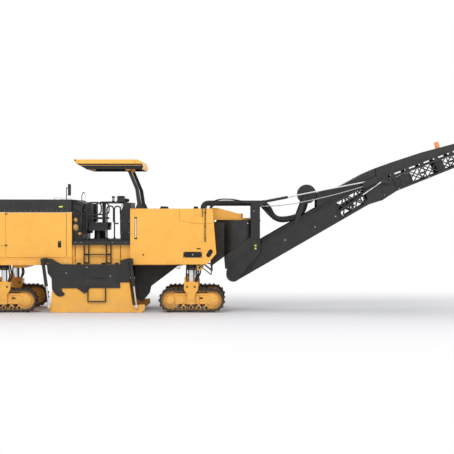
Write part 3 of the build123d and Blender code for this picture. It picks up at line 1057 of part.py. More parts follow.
UPPER_STATIONS = tuple(UPPER_START + 50.0 + index * UPPER_BAY for index in range(UPPER_BAYS + 1))
HEAD_S = (HEAD_X - FOLD_HINGE[0]) / cos(radians(UPPER_ANGLE)) - 60.0
HEAD_T = UPPER_LOW + HEAD_PULLEY
FOLD_EYE = upper_place(200.0, 420.0)     # fold rods pull here, beside the top chord
FOLD_EARS = ((535.0, 549.0), (601.0, 615.0))
with BuildPart() as conveyor_upper:
    with BuildSketch(Plane.XZ.offset(UPPER_SIDE_Y[0])):
        rail_line = UPPER_RAIL + UPPER_SLOT
        lattice(upper_place, UPPER_STATIONS, upper_low, lambda s: upper_high(s) - rail_line,
                UPPER_RAIL, UPPER_BRACE)
        chord(upper_place, UPPER_STATIONS[0], UPPER_STATIONS[-1],
              lambda s: upper_high(s) - UPPER_RAIL, UPPER_RAIL)
        for station in UPPER_STATIONS[1:]:
            brace((station, upper_high(station) - rail_line - 5.0), (station, upper_high(station) - 5.0),
                  upper_place, UPPER_HANGER)
        # plate round the hinge end, with the knuckle down to the hinge pin
        Polygon((FOLD_HINGE[0] - 40.0, FOLD_HINGE[1] - 40.0), (FOLD_HINGE[0] + 40.0, FOLD_HINGE[1] - 40.0),
                upper_place(460.0, UPPER_LOW), upper_place(370.0, upper_high(370.0)),
                upper_place(UPPER_NEAR, upper_high(UPPER_NEAR)), upper_place(UPPER_START - 10.0, 60.0),
                align=None)
        # head plate that carries the pulley
        plate_s = UPPER_STATIONS[-1] - 100.0
        Polygon(upper_place(plate_s, UPPER_LOW), upper_place(HEAD_S + 60.0, UPPER_LOW + 30.0),
                upper_place(HEAD_S + 90.0, HEAD_T), upper_place(HEAD_S + 40.0, upper_high(HEAD_S)),
                upper_place(plate_s, upper_high(plate_s)), align=None)
    extrude(amount=UPPER_SIDE_Y[1] - UPPER_SIDE_Y[0])
    cross_cylinder(FOLD_HINGE[0], FOLD_HINGE[1], FOLD_PIN, (-LOWER_SIDE_Y[1] - 12.0, -UPPER_SIDE_Y[0]))
    # ears for the fold rod eye on a spacer through the side
    for inner, outer in FOLD_EARS:
        slab([upper_place(150.0, 385.0), upper_place(360.0, 280.0), upper_place(400.0, 345.0),
              upper_place(250.0, 455.0), upper_place(160.0, 455.0)], inner, outer, -1)
    x, z = upper_place(330.0, 330.0)
    cross_cylinder(x, z, 28.0, (-FOLD_EARS[1][1], -UPPER_SIDE_Y[0]))
    mirror(about=Plane.XZ)
    for s in UPPER_STATIONS[1::2]:
        x, z = upper_place(s, HEAD_T)
        cross_cylinder(x, z, CROSS_TUBE - 4.0, (-UPPER_SIDE_Y[1] + 5.0, UPPER_SIDE_Y[1] - 5.0))
    x, z = upper_place(HEAD_S, HEAD_T)
    cross_cylinder(x, z, HEAD_PULLEY - BELT_THICKNESS - 1.0, (-UPPER_SIDE_Y[1] + 5.0, UPPER_SIDE_Y[1] - 5.0))
conveyor_upper.part.label = "conveyor_upper"
export_step(conveyor_upper.part, "parts/conveyor_upper.step")

with BuildPart() as belt_upper:
    belt_loop(FOLD_HINGE, UPPER_ANGLE, HEAD_S, HEAD_T, 200.0, HEAD_PULLEY, UPPER_SIDE_Y[0] - 20.0)
belt_upper.part.label = "belt_upper"
export_step(belt_upper.part, "parts/belt_upper.step")

UPPER_COVER_HALF = 475.0
UPPER_COVER = ((4918.0, 3806.0), (5430.0, 3990.0), (6130.0, 4222.0), (7000.0, 4455.0), (7900.0, 4700.0))
with BuildPart() as cover_upper:
    top = [(FRONT_LEG_X + x, z) for x, z in UPPER_COVER]
    near = upper_place(UPPER_NEAR - 10.0, upper_high(UPPER_NEAR) + 2.0)
    far = upper_place(HEAD_S - 60.0, upper_high(HEAD_S - 60.0) + 2.0)
    extrude(outline([near] + top + [far]), amount=UPPER_COVER_HALF, both=True)
    inner_top = [(x, z - COVER_SHEET - 2.0) for x, z in top]
    hollow = [(near[0] - 60.0, near[1] - 60.0), (near[0] - 160.0, inner_top[0][1] - 40.0)]
    hollow += inner_top[1:-1] + [(far[0] + 100.0, inner_top[-1][1] + 40.0), (far[0] + 100.0, far[1] - 60.0)]
    extrude(outline(hollow), amount=UPPER_COVER_HALF - COVER_SHEET, both=True, mode=Mode.SUBTRACT)
cover_upper.part.label = "cover_upper"
export_step(cover_upper.part, "parts/cover_upper.step")

BEACON_SHARE = 0.51          # place along the long cover panel
BEACON_RADIUS = 62.0
BEACON_Y = 380.0
BEACON_HEIGHT = 165.0
with BuildPart() as beacon:
    (x0, z0), (x1, z1) = UPPER_COVER[2], UPPER_COVER[3]
    tilt = atan2(z1 - z0, x1 - x0)
    base_x = FRONT_LEG_X + x0 + (x1 - x0) * BEACON_SHARE
    base_z = z0 + (z1 - z0) * BEACON_SHARE + 1.0
    rod_between((base_x, -BEACON_Y, base_z),
                (base_x - BEACON_HEIGHT * sin(tilt), -BEACON_Y, base_z + BEACON_HEIGHT * cos(tilt)),
                BEACON_RADIUS)
beacon.part.label = "beacon"
export_step(beacon.part, "parts/beacon.step")

# -------------------------------- lift and fold cylinders
LIFT_BARREL_LENGTH = 650.0
LIFT_BARREL_RADIUS = 36.0
LIFT_ROD_RADIUS = 17.0
LIFT_ROD_INSIDE = 400.0      # rod left inside the barrel as it stands
LIFT_ANGLE = degrees(atan2(LIFT_EYE[1] - LIFT_PIVOT[1], LIFT_EYE[0] - LIFT_PIVOT[0]))


def cylinder_barrel(pivot, angle, y, start, length, radius, bore, depth, eye_radius, eye_half, pin_hole):
    """Barrel of a hydraulic cylinder with its eye at the pivot, bored from the open end."""
    x0, z0 = sloped(pivot, angle, start, 0.0)
    x1, z1 = sloped(pivot, angle, length, 0.0)
    rod_between((x0, y, z0), (x1, y, z1), radius)
    cross_cylinder(pivot[0], pivot[1], eye_radius, (y - eye_half, y + eye_half))
    x2, z2 = sloped(pivot, angle, length - depth, 0.0)
    x3, z3 = sloped(pivot, angle, length + 20.0, 0.0)
    rod_between((x2, y, z2), (x3, y, z3), bore, Mode.SUBTRACT)
    cross_cylinder(pivot[0], pivot[1], pin_hole, (y - eye_half - 5.0, y + eye_half + 5.0), Mode.SUBTRACT)


with BuildPart() as lift_barrels:
    for side in (-1, 1):
        cylinder_barrel(LIFT_PIVOT, LIFT_ANGLE, side * LIFT_Y, 20.0, LIFT_BARREL_LENGTH,
                        LIFT_BARREL_RADIUS, LIFT_ROD_RADIUS + PIN_GAP, LIFT_BARREL_LENGTH - 60.0,
                        40.0, 28.0, 18.0 + PIN_GAP)
lift_barrels.part.label = "lift_barrels"
export_step(lift_barrels.part, "parts/lift_barrels.step")

with BuildPart() as lift_rods:
    for side in (-1, 1):
        x, z = sloped(LIFT_PIVOT, LIFT_ANGLE, LIFT_BARREL_LENGTH - LIFT_ROD_INSIDE, 0.0)
        rod_between((x, side * LIFT_Y, z), (LIFT_EYE[0], side * LIFT_Y, LIFT_EYE[1]), LIFT_ROD_RADIUS)
        cross_cylinder(LIFT_EYE[0], LIFT_EYE[1], 34.0, (side * LIFT_Y - 24.0, side * LIFT_Y + 24.0))
lift_rods.part.label = "lift_rods"
export_step(lift_rods.part, "parts/lift_rods.step")

FOLD_ANGLE = degrees(atan2(FOLD_EYE[1] - FOLD_PIVOT[1], FOLD_EYE[0] - FOLD_PIVOT[0]))
FOLD_BARREL_LENGTH = 800.0
FOLD_BARREL_RADIUS = 34.0
FOLD_ROD_RADIUS = 18.0
with BuildPart() as fold_barrels:
    for side in (-1, 1):
        cylinder_barrel(FOLD_PIVOT, FOLD_ANGLE, side * FOLD_Y, 20.0, FOLD_BARREL_LENGTH,
                        FOLD_BARREL_RADIUS, FOLD_ROD_RADIUS + PIN_GAP, FOLD_BARREL_LENGTH - 60.0,
                        38.0, 26.0, FOLD_PIVOT_PIN + PIN_GAP)
fold_barrels.part.label = "fold_barrels"
export_step(fold_barrels.part, "parts/fold_barrels.step")

with BuildPart() as fold_rods:
    for side in (-1, 1):
        x, z = sloped(FOLD_PIVOT, FOLD_ANGLE, FOLD_BARREL_LENGTH - 560.0, 0.0)
        rod_between((x, side * FOLD_Y, z), (FOLD_EYE[0], side * FOLD_Y, FOLD_EYE[1]), FOLD_ROD_RADIUS)
        cross_cylinder(FOLD_EYE[0], FOLD_EYE[1], 32.0, (side * FOLD_Y - 22.0, side * FOLD_Y + 22.0))
fold_rods.part.label = "fold_rods"
export_step(fold_rods.part, "parts/fold_rods.step")

# -------------------------------- dust extraction: fan on the lower section, ducts back to the body
FAN_X = FRONT_LEG_X + 3070.0
FAN_Z = 3110.0
FAN_RADIUS = 255.0
FAN_HALF = 150.0
with BuildPart() as duct_body:
    for side in (-1, 1):
        y = side * DUCT_Y
        bent_tube([(DUCT_FOOT_X, y, BODY_TOP + 1.0), (DUCT_FOOT_X, y, DUCT_Z), (SLEW_X - 40.0, y, DUCT_Z)],
                  DUCT_BEND, DUCT_RADIUS)
duct_body.part.label = "duct_body"
export_step(duct_body.part, "parts/duct_body.step")
MANIFOLD_Z = (FAN_Z - 120.0, FAN_Z + 60.0)
with BuildPart() as duct_conveyor:
    for side in (-1, 1):
        y = side * DUCT_Y
        bent_tube([(FRONT_LEG_X + 2090.0, y, 2700.0), (FRONT_LEG_X + 2330.0, y, 2430.0),
                   (FAN_X, y, 2700.0), (FAN_X, y, MANIFOLD_Z[0] - 2.0)],
                  140.0, DUCT_RADIUS)
duct_conveyor.part.label = "duct_conveyor"
export_step(duct_conveyor.part, "parts/duct_conveyor.step")
with BuildPart() as dust_fan:
    cross_cylinder(FAN_X, FAN_Z, FAN_RADIUS, (-440.0, -440.0 + FAN_HALF))
    cross_cylinder(FAN_X, FAN_Z, 40.0, (-525.0, 525.0))
    block((FAN_X - 95.0, FAN_X + 95.0), (-295.0, 250.0), MANIFOLD_Z)
    for side in (-1, 1):
        slab([lower_place(2050.0, LOWER_OVER + 1.0), lower_place(2200.0, LOWER_OVER + 1.0),
              (FAN_X + 45.0, FAN_Z + 30.0), (FAN_X - 45.0, FAN_Z + 30.0)], 505.0, 525.0, side)
dust_fan.part.label = "dust_fan"
export_step(dust_fan.part, "parts/dust_fan.step")

# ================================================================ canopy
CANOPY_X = (FRONT_LEG_X - 3080.0, FRONT_LEG_X - 1250.0)
CANOPY_HALF = 1100.0
CANOPY_TOP = 4010.0
CANOPY_LIP = 3890.0
CANOPY_UNDER = 3760.0
CANOPY_SHEET = 30.0
POST_Y = 860.0
POST_WIDTH = 70.0
POST_BASE = (FRONT_LEG_X - 1365.0, 2800.0)
POST_TOP = (FRONT_LEG_X - 1670.0, 3777.0)
with BuildPart() as canopy:
    # shallow shell with a rounded front and an undercut back
    x0, x1 = CANOPY_X
    extrude(outline([(x0, CANOPY_TOP - 10.0), (x0 + 60.0, CANOPY_TOP), (x1 - 160.0, CANOPY_TOP),
                     (x1 - 40.0, CANOPY_TOP - 50.0), (x1, CANOPY_LIP - 60.0), (x1 - 30.0, CANOPY_UNDER),
                     (x0 + 330.0, CANOPY_UNDER), (x0 + 60.0, CANOPY_LIP + 20.0)]),
            amount=CANOPY_HALF, both=True)
    block((x0 + 380.0, x1 - 80.0), (-CANOPY_HALF + CANOPY_SHEET, CANOPY_HALF - CANOPY_SHEET),
          (CANOPY_UNDER - 10.0, CANOPY_LIP + 60.0), Mode.SUBTRACT)
    # hinge beams that run over the posts
    for side in (-1, 1):
        for inner, outer in ((POST_Y - POST_WIDTH / 2 - 26.0, POST_Y - POST_WIDTH / 2 - 6.0),
                             (POST_Y + POST_WIDTH / 2 + 6.0, POST_Y + POST_WIDTH / 2 + 26.0)):
            slab([(POST_TOP[0] - 90.0, CANOPY_LIP + 70.0), (POST_TOP[0] - 60.0, POST_TOP[1] - 50.0),
                  (POST_TOP[0] + 60.0, POST_TOP[1] - 50.0), (POST_TOP[0] + 90.0, CANOPY_LIP + 70.0)],
                 inner, outer, side)
        cross_cylinder(POST_TOP[0], POST_TOP[1], 18.0,
                       tuple(sorted((side * (POST_Y - POST_WIDTH), side * (POST_Y + POST_WIDTH)))))
canopy.part.label = "canopy"
export_step(canopy.part, "parts/canopy.step")

POST_LINE = (                            # half depth of the post along its height: x, z, half depth
    (POST_BASE[0], POST_BASE[1] - 10.0, 52.0),
    (FRONT_LEG_X - 1430.0, 3230.0, 48.0),
    (POST_TOP[0], POST_TOP[1] + 20.0, 45.0),
)
with BuildPart() as canopy_posts:
    for side in (-1, 1):
        rear = [(x - half, z) for x, z, half in POST_LINE]
        front = [(x + half, z) for x, z, half in reversed(POST_LINE)]
        slab(rear + front, POST_Y - POST_WIDTH / 2, POST_Y + POST_WIDTH / 2, side)
        faces = tuple(sorted((side * (POST_Y - POST_WIDTH / 2), side * (POST_Y + POST_WIDTH / 2))))
        cross_cylinder(POST_BASE[0], POST_BASE[1], 53.0, faces)
        for pivot in (POST_BASE, POST_TOP):
            cut = (faces[0] - 5.0, faces[1] + 5.0)
            cross_cylinder(pivot[0], pivot[1], 18.0 + PIN_GAP, cut, Mode.SUBTRACT)
canopy_posts.part.label = "canopy_posts"
export_step(canopy_posts.part, "parts/canopy_posts.step")

with BuildPart() as post_feet:
    for side in (-1, 1):
        for inner, outer in ((POST_Y - POST_WIDTH / 2 - 26.0, POST_Y - POST_WIDTH / 2 - 6.0),
                             (POST_Y + POST_WIDTH / 2 + 6.0, POST_Y + POST_WIDTH / 2 + 26.0)):
            slab([(POST_BASE[0] - 110.0, BODY_TOP), (POST_BASE[0] + 110.0, BODY_TOP),
                  (POST_BASE[0] + 60.0, POST_BASE[1] + 50.0), (POST_BASE[0] - 60.0, POST_BASE[1] + 50.0)],
                 inner, outer, side)
        low, high = sorted((side * (POST_Y - POST_WIDTH), side * (POST_Y + POST_WIDTH)))
        block((POST_BASE[0] - 110.0, POST_BASE[0] + 110.0), (low, high), (BODY_TOP, BODY_TOP + 14.0))
        cross_cylinder(POST_BASE[0], POST_BASE[1], 18.0, (low, high))
post_feet.part.label = "post_feet"
export_step(post_feet.part, "parts/post_feet.step")
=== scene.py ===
import json
from math import cos, hypot, pi, radians, sin

import bpy
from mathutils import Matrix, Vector


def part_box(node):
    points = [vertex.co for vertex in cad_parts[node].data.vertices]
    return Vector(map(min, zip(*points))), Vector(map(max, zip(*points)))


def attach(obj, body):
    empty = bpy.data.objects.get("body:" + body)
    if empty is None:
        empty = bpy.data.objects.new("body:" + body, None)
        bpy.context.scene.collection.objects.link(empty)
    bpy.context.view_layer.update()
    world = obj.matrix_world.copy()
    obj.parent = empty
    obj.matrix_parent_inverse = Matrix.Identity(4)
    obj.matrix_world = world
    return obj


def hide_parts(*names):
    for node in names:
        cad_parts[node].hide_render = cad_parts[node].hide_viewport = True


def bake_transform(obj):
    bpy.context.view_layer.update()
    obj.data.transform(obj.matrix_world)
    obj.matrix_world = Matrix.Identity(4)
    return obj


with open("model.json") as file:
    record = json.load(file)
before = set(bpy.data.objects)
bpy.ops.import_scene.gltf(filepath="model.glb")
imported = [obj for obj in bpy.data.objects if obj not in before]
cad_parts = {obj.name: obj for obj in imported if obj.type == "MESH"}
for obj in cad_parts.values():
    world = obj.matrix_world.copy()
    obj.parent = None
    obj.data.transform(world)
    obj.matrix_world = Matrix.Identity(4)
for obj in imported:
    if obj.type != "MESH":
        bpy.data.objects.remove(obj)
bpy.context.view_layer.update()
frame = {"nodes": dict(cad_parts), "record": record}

# ---------- stations, from the frame
def middle(node, axis):
    low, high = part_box(node)
    return (low[axis] + high[axis]) / 2


FRONT = middle("yoke_front_right", 0)          # x of the front legs; body stations count from here
REAR = middle("yoke_rear_right", 0)
SIDES = (-1, 1)                                # right, left
UP = (0, 0, 1)
BODY_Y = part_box("front_body")[1][1]
HOOD_TOP, INTAKE_Y = 2.96, 0.62
BAND_Y, SEAM_Z = 1.150, 1.745            # band and panel seam of the engine housing
CORNERS = (("front_right", FRONT, -1), ("front_left", FRONT, 1), ("rear_right", REAR, -1),
           ("rear_left", REAR, 1))


def at(x):
    """World x of a station given from the front legs."""
    return FRONT + x


def about(value, half):
    """The pair half below and half above a value."""
    return value - half, value + half


def span(one, other):
    """The two values, lower one first."""
    return min(one, other), max(one, other)


# ---------- materials
def node_tree(name):
    material = bpy.data.materials.new(name)
    material.use_nodes = True
    tree = material.node_tree
    shader = tree.nodes["Principled BSDF"]
    coords = tree.nodes.new("ShaderNodeTexCoord")
    return material, tree, shader, coords.outputs["Object"]


def put(node, values):
    """Sets the values of a node's inputs, by the inputs' names."""
    for name, value in values.items():
        node.inputs[name].default_value = value


def noise(tree, coords, scale, detail=4.0, stretch=None):
    source = coords
    if stretch:
        mapping = tree.nodes.new("ShaderNodeMapping")
        put(mapping, {"Scale": stretch})
        tree.links.new(coords, mapping.inputs["Vector"])
        source = mapping.outputs["Vector"]
    texture = tree.nodes.new("ShaderNodeTexNoise")
    put(texture, {"Scale": scale, "Detail": detail})
    tree.links.new(source, texture.inputs["Vector"])
    return texture.outputs["Fac"]


def remap(tree, value, low, high, to_low=0.0, to_high=1.0):
    node = tree.nodes.new("ShaderNodeMapRange")
    put(node, {"From Min": low, "From Max": high, "To Min": to_low, "To Max": to_high})
    tree.links.new(value, node.inputs["Value"])
    return node.outputs["Result"]


def times(tree, one, other):
    node = tree.nodes.new("ShaderNodeMath")
    node.operation = "MULTIPLY"
    for index, value in enumerate((one, other)):
        if isinstance(value, (int, float)):
            node.inputs[index].default_value = value
        else:
            tree.links.new(value, node.inputs[index])
    return node.outputs["Value"]


def blend_colour(tree, share, one, other):
    node = tree.nodes.new("ShaderNodeMix")
    node.data_type = "RGBA"
    tree.links.new(share, node.inputs["Factor"])
    for socket, value in ((node.inputs[6], one), (node.inputs[7], other)):
        if isinstance(value, tuple):
            socket.default_value = value + (1.0,)
        else:
            tree.links.new(value, socket)
    return node.outputs[2]


def add_bump(tree, shader, height, strength, distance=0.002):
    node = tree.nodes.new("ShaderNodeBump")
    put(node, {"Strength": strength, "Distance": distance})
    tree.links.new(height, node.inputs["Height"])
    tree.links.new(node.outputs["Normal"], shader.inputs["Normal"])
    return node


EDGE_SAMPLES = 4


def edge_mask(tree, radius):
    """Bright along sharp edges: the rounded normal against the true one."""
    bevel = tree.nodes.new("ShaderNodeBevel")
    bevel.samples = EDGE_SAMPLES
    put(bevel, {"Radius": radius})
    geometry = tree.nodes.new("ShaderNodeNewGeometry")
    dot = tree.nodes.new("ShaderNodeVectorMath")
    dot.operation = "DOT_PRODUCT"
    tree.links.new(bevel.outputs["Normal"], dot.inputs[0])
    tree.links.new(geometry.outputs["Normal"], dot.inputs[1])
    return remap(tree, dot.outputs["Value"], 0.98, 0.80)


def surface(name, colour, second, rough, scale=5.0, metallic=0.0, grain=None, streaks=0.0, dust=None,
            edge=None, coat=0.0, specular=0.5):
    """Painted, plastic or metal surface: two-tone patches, fine grain, streaks, dust low down, worn edges.

    colour, second: the two tones; rough: (low, high); grain: (scale, strength, depth);
    dust: (colour, height it fades out at, amount); edge: (colour, radius, amount)."""
    material, tree, shader, coords = node_tree(name)
    patches = noise(tree, coords, scale, 6.0)
    result = blend_colour(tree, remap(tree, patches, 0.35, 0.68), colour, second)
    if streaks:
        run = noise(tree, coords, 9.0, 5.0, (3.0, 3.0, 0.35))
        share = remap(tree, run, 0.55, 0.80, 0.0, streaks)
        result = blend_colour(tree, share, result, tuple(c * 0.55 for c in second))
    if edge:
        worn, radius, amount = edge
        broken = remap(tree, noise(tree, coords, 34.0, 5.0), 0.45, 0.62, 0.15, 1.0)
        share = times(tree, times(tree, edge_mask(tree, radius), broken), amount)
        result = blend_colour(tree, share, result, worn)
    if dust:
        tone, fade, amount = dust
        parts = tree.nodes.new("ShaderNodeSeparateXYZ")
        tree.links.new(coords, parts.inputs["Vector"])
        low_down = remap(tree, parts.outputs["Z"], fade, 0.0, 0.0, amount)
        cloud = remap(tree, noise(tree, coords, 7.0, 8.0), 0.38, 0.66)
        result = blend_colour(tree, times(tree, low_down, cloud), result, tone)
    tree.links.new(result, shader.inputs["Base Color"])
    gloss = noise(tree, coords, scale * 4.0, 5.0)
    tree.links.new(remap(tree, gloss, 0.3, 0.7, rough[0], rough[1]), shader.inputs["Roughness"])
    put(shader, {"Metallic": metallic, "Specular IOR Level": specular})
    if coat:
        put(shader, {"Coat Weight": coat, "Coat Roughness": 0.12})
    if grain:
        add_bump(tree, shader, noise(tree, coords, grain[0], 3.0), grain[1], grain[2])
    return material


DUST = (0.36, 0.30, 0.22)
YELLOW = surface("yellow_paint", (0.93, 0.475, 0.072), (0.87, 0.425, 0.060), (0.34, 0.48), 3.0,
                 grain=(230.0, 0.10, 0.0012), streaks=0.10, dust=(DUST, 0.55, 0.35),
                 edge=((0.97, 0.62, 0.20), 0.006, 0.45), coat=0.10)
BLACK = surface("black_paint", (0.017, 0.0165, 0.016), (0.026, 0.025, 0.0245), (0.40, 0.56), 4.0,
                grain=(260.0, 0.16, 0.0012), dust=(DUST, 1.1, 0.10), edge=((0.13, 0.125, 0.12), 0.004, 0.5),
                specular=0.32)
DARK_TRIM = surface("dark_trim", (0.008, 0.008, 0.008), (0.014, 0.014, 0.014), (0.5, 0.7), 9.0,
                    grain=(420.0, 0.25, 0.001), specular=0.28)
STEEL = surface("polished_steel", (0.72, 0.72, 0.73), (0.60, 0.60, 0.61), (0.14, 0.26), 12.0, 1.0,
                grain=(500.0, 0.05, 0.0005))
ZINC = surface("zinc_bolts", (0.55, 0.54, 0.51), (0.38, 0.37, 0.35), (0.30, 0.46), 60.0, 1.0,
               grain=(600.0, 0.12, 0.0005))
TRACK_STEEL = surface("track_steel", (0.018, 0.015, 0.013), (0.040, 0.030, 0.022), (0.55, 0.80), 22.0, 0.25,
                      grain=(150.0, 0.35, 0.002), dust=(DUST, 0.30, 0.12),
                      edge=((0.20, 0.16, 0.12), 0.005, 0.6))
TRACK_LINK = surface("track_links", (0.36, 0.175, 0.035), (0.060, 0.036, 0.020), (0.45, 0.70), 26.0,
                     grain=(150.0, 0.35, 0.002), dust=(DUST, 0.45, 0.20))
CAST = surface("cast_metal", (0.10, 0.10, 0.105), (0.16, 0.155, 0.15), (0.45, 0.62), 14.0, 0.5,
               grain=(180.0, 0.35, 0.002))
CUTTER = surface("cutter_steel", (0.085, 0.072, 0.062), (0.20, 0.17, 0.14), (0.42, 0.66), 18.0, 0.6,
                 grain=(140.0, 0.4, 0.003), edge=((0.42, 0.38, 0.34), 0.006, 0.9))
RUBBER = surface("rubber", (0.014, 0.014, 0.014), (0.025, 0.0245, 0.024), (0.62, 0.82), 11.0,
                 grain=(320.0, 0.3, 0.001), dust=(DUST, 3.0, 0.08), specular=0.3)
PLASTIC = surface("moulded_plastic", (0.015, 0.015, 0.016), (0.023, 0.023, 0.025), (0.42, 0.58), 8.0,
                  grain=(520.0, 0.35, 0.0008), specular=0.35)
WHITE = surface("white_enamel", (0.82, 0.81, 0.78), (0.72, 0.71, 0.68), (0.25, 0.40), 9.0,
                grain=(300.0, 0.1, 0.0008))
LIME = surface("lime_reflector", (0.62, 0.82, 0.06), (0.50, 0.72, 0.05), (0.12, 0.22), 30.0,
               grain=(900.0, 0.5, 0.0008), coat=0.6)
ORANGE = surface("orange_lens", (0.95, 0.26, 0.015), (0.88, 0.21, 0.012), (0.10, 0.18), 16.0,
                 grain=(260.0, 0.2, 0.001), coat=0.8)
BRASS = surface("brass_parts", (0.50, 0.30, 0.10), (0.34, 0.20, 0.07), (0.35, 0.55), 16.0, 0.8,
                grain=(260.0, 0.2, 0.001))
AMBER_GLASS = surface("lamp_glass", (0.75, 0.77, 0.80), (0.55, 0.57, 0.60), (0.08, 0.16), 20.0, 0.3,
                      grain=(200.0, 0.5, 0.001), coat=0.8)
MIRROR = surface("mirror_face", (0.80, 0.82, 0.84), (0.74, 0.76, 0.78), (0.03, 0.08), 3.0, 1.0)


def woven(name, colour, second, pitch):
    """Cloth with a crossed weave and slow patches of wear."""
    material, tree, shader, coords = node_tree(name)
    heights = []
    for direction in ("X", "Z"):
        wave = tree.nodes.new("ShaderNodeTexWave")
        wave.bands_direction = direction
        put(wave, {"Scale": pitch, "Distortion": 0.6})
        tree.links.new(coords, wave.inputs["Vector"])
        heights.append(wave.outputs["Fac"])
    weave = times(tree, heights[0], heights[1])
    patches = remap(tree, noise(tree, coords, 6.0, 6.0), 0.35, 0.7)
    worn = blend_colour(tree, patches, colour, second)
    tree.links.new(blend_colour(tree, weave, worn, tuple(c * 1.8 for c in second)),
                   shader.inputs["Base Color"])
    put(shader, {"Roughness": 0.85, "Sheen Weight": 0.25})
    add_bump(tree, shader, weave, 0.5, 0.0015)
    return material


CLOTH = woven("pad_cloth", (0.014, 0.014, 0.016), (0.024, 0.024, 0.027), 160.0)

MATERIALS = {"yellow_paint": YELLOW, "black_paint": BLACK, "polished_steel": STEEL,
             "track_steel": TRACK_STEEL, "engine_metal": CAST, "cutter_steel": CUTTER, "rubber": RUBBER,
             "console_plastic": PLASTIC, "pad_cloth": CLOTH, "orange_lens": ORANGE}
for entry in frame["record"]["subparts"]:
    node = frame["nodes"][entry["node"]]
    node.data.materials.clear()
    node.data.materials.append(MATERIALS[entry["material_slot"]])

# slot of the record that each finish belongs to, unless make is told another
SLOT_OF = {material: slot for slot, group in (
    ("yellow_paint", (YELLOW, LIME)), ("black_paint", (BLACK, DARK_TRIM)),
    ("polished_steel", (ZINC, MIRROR, WHITE, AMBER_GLASS)), ("track_steel", (TRACK_STEEL, TRACK_LINK)),
    ("cutter_steel", (BRASS,)), ("rubber", (RUBBER,)), ("console_plastic", (PLASTIC,)))
    for material in group}

# ---------- mesh makers
SHARP_ANGLE = radians(35)
FULL_TURN = 2 * pi


class Shape:
    """Collects points and faces of simple solids, then becomes one piece."""

    def __init__(self):
        self.points = []
        self.faces = []

    def add(self, points, faces):
        start = len(self.points)
        self.points += [tuple(p) for p in points]
        self.faces += [[start + i for i in face] for face in faces]

    def add_rings(self, points, count):
        """Rings of count points, joined by faces and closed by a cap at each end."""
        last = len(points) - count
        faces = []
        for first in range(0, last, count):
            for step in range(count):
                a, b = first + step, first + (step + 1) % count
                faces.append((a, b, b + count, a + count))
        self.add(points, faces + [list(range(count))[::-1], list(range(last, last + count))])

    def box(self, x, y, z):
        corners = [(x[i], y[j], z[k]) for i in (0, 1) for j in (0, 1) for k in (0, 1)]
        self.add(corners, [(0, 1, 3, 2), (4, 6, 7, 5), (0, 4, 5, 1), (2, 3, 7, 6), (0, 2, 6, 4),
                           (1, 5, 7, 3)])

    def prism(self, outline, near, far):
        """(x, z) outline standing in the XZ plane, from y = near to y = far."""
        count = len(outline)
        points = [(x, near, z) for x, z in outline] + [(x, far, z) for x, z in outline]
        sides = [(i, (i + 1) % count, count + (i + 1) % count, count + i) for i in range(count)]
        self.add(points, [list(range(count))[::-1], list(range(count, 2 * count))] + sides)

    def panel(self, x, z, near, far):
        """Oblong plate over the x and z pairs, from y = near to y = far."""
        self.prism([(x[0], z[0]), (x[1], z[0]), (x[1], z[1]), (x[0], z[1])], near, far)

    def sheet(self, outline, face, side, proud, sunk=0.001):
        """Thin plate on a side face: let in by sunk, standing out by proud."""
        self.prism(outline, face - side * sunk, face + side * proud)

    def strip(self, x, z, face, side, proud, sunk=0.001):
        """Oblong sheet over the x and z pairs."""
        self.panel(x, z, face - side * sunk, face + side * proud)

    def turned(self, start, direction, profile, count=20):
        """Round solid: profile of (distance along direction, radius) from start."""
        axis = Vector(direction).normalized()
        across = axis.orthogonal().normalized()
        other = axis.cross(across)
        points = []
        for along, radius in profile:
            centre = Vector(start) + axis * along
            for step in range(count):
                angle = FULL_TURN * (step + 0.5) / count
                points.append(centre + (across * cos(angle) + other * sin(angle)) * radius)
        self.add_rings(points, count)

    def bolt(self, place, direction, size=0.012):
        """Washer and six-sided head with a domed top."""
        self.turned(place, direction, ((-0.002, size * 1.25), (size * 0.25, size * 1.25)), 14)
        self.turned(place, direction, ((0.0, size), (size * 0.85, size), (size * 1.05, size * 0.78)), 6)

    def bolts(self, places, y, side, size):
        """Bolts at (x, z) stations on the side face at y."""
        for x, z in places:
            self.bolt((at(x), y, z), (0, side, 0), size)

    def tube(self, route, radius, count=12):
        """Round tube through the points, its section turned as little as possible."""
        points = [Vector(p) for p in route]
        rings, across = [], None
        for index, point in enumerate(points):
            before = points[max(index - 1, 0)]
            after = points[min(index + 1, len(points) - 1)]
            ahead = (after - before).normalized()
            across = ahead.orthogonal() if across is None else across - ahead * across.dot(ahead)
            across = across.normalized()
            other = ahead.cross(across)
            size = radius[index] if isinstance(radius, (list, tuple)) else radius
            for step in range(count):
                angle = FULL_TURN * step / count
                rings.append(point + (across * cos(angle) + other * sin(angle)) * size)
        self.add_rings(rings, count)

    def make(self, name, material, body, bevel=0.0, smooth=True, slot=None):
        """One piece that rides on body; with a tuple of bodies it stays where it is, on no body."""
        slot = slot or SLOT_OF[material]
        mesh = bpy.data.meshes.new(name)
        mesh.from_pydata(self.points, [], self.faces)
        mesh.validate()
        mesh.update()
        piece = bpy.data.objects.new(name, mesh)
        bpy.context.scene.collection.objects.link(piece)
        mesh.materials.append(material)
        if smooth:
            for polygon in mesh.polygons:
                polygon.use_smooth = True
            mesh.set_sharp_from_angle(angle=SHARP_ANGLE)
        if bevel:
            soften = piece.modifiers.new("soft_edges", "BEVEL")
            soften.width = bevel
            soften.segments = 2
            soften.limit_method = "ANGLE"
            soften.harden_normals = True
        if isinstance(body, tuple):
            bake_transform(piece)
        else:
            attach(piece, body)
        return piece


def circle(radius, count, shift=0.0):
    """Offsets (across, up) of count points on a circle, turned by a share of a step."""
    for step in range(count):
        angle = FULL_TURN * (step + shift) / count
        yield radius * cos(angle), radius * sin(angle)


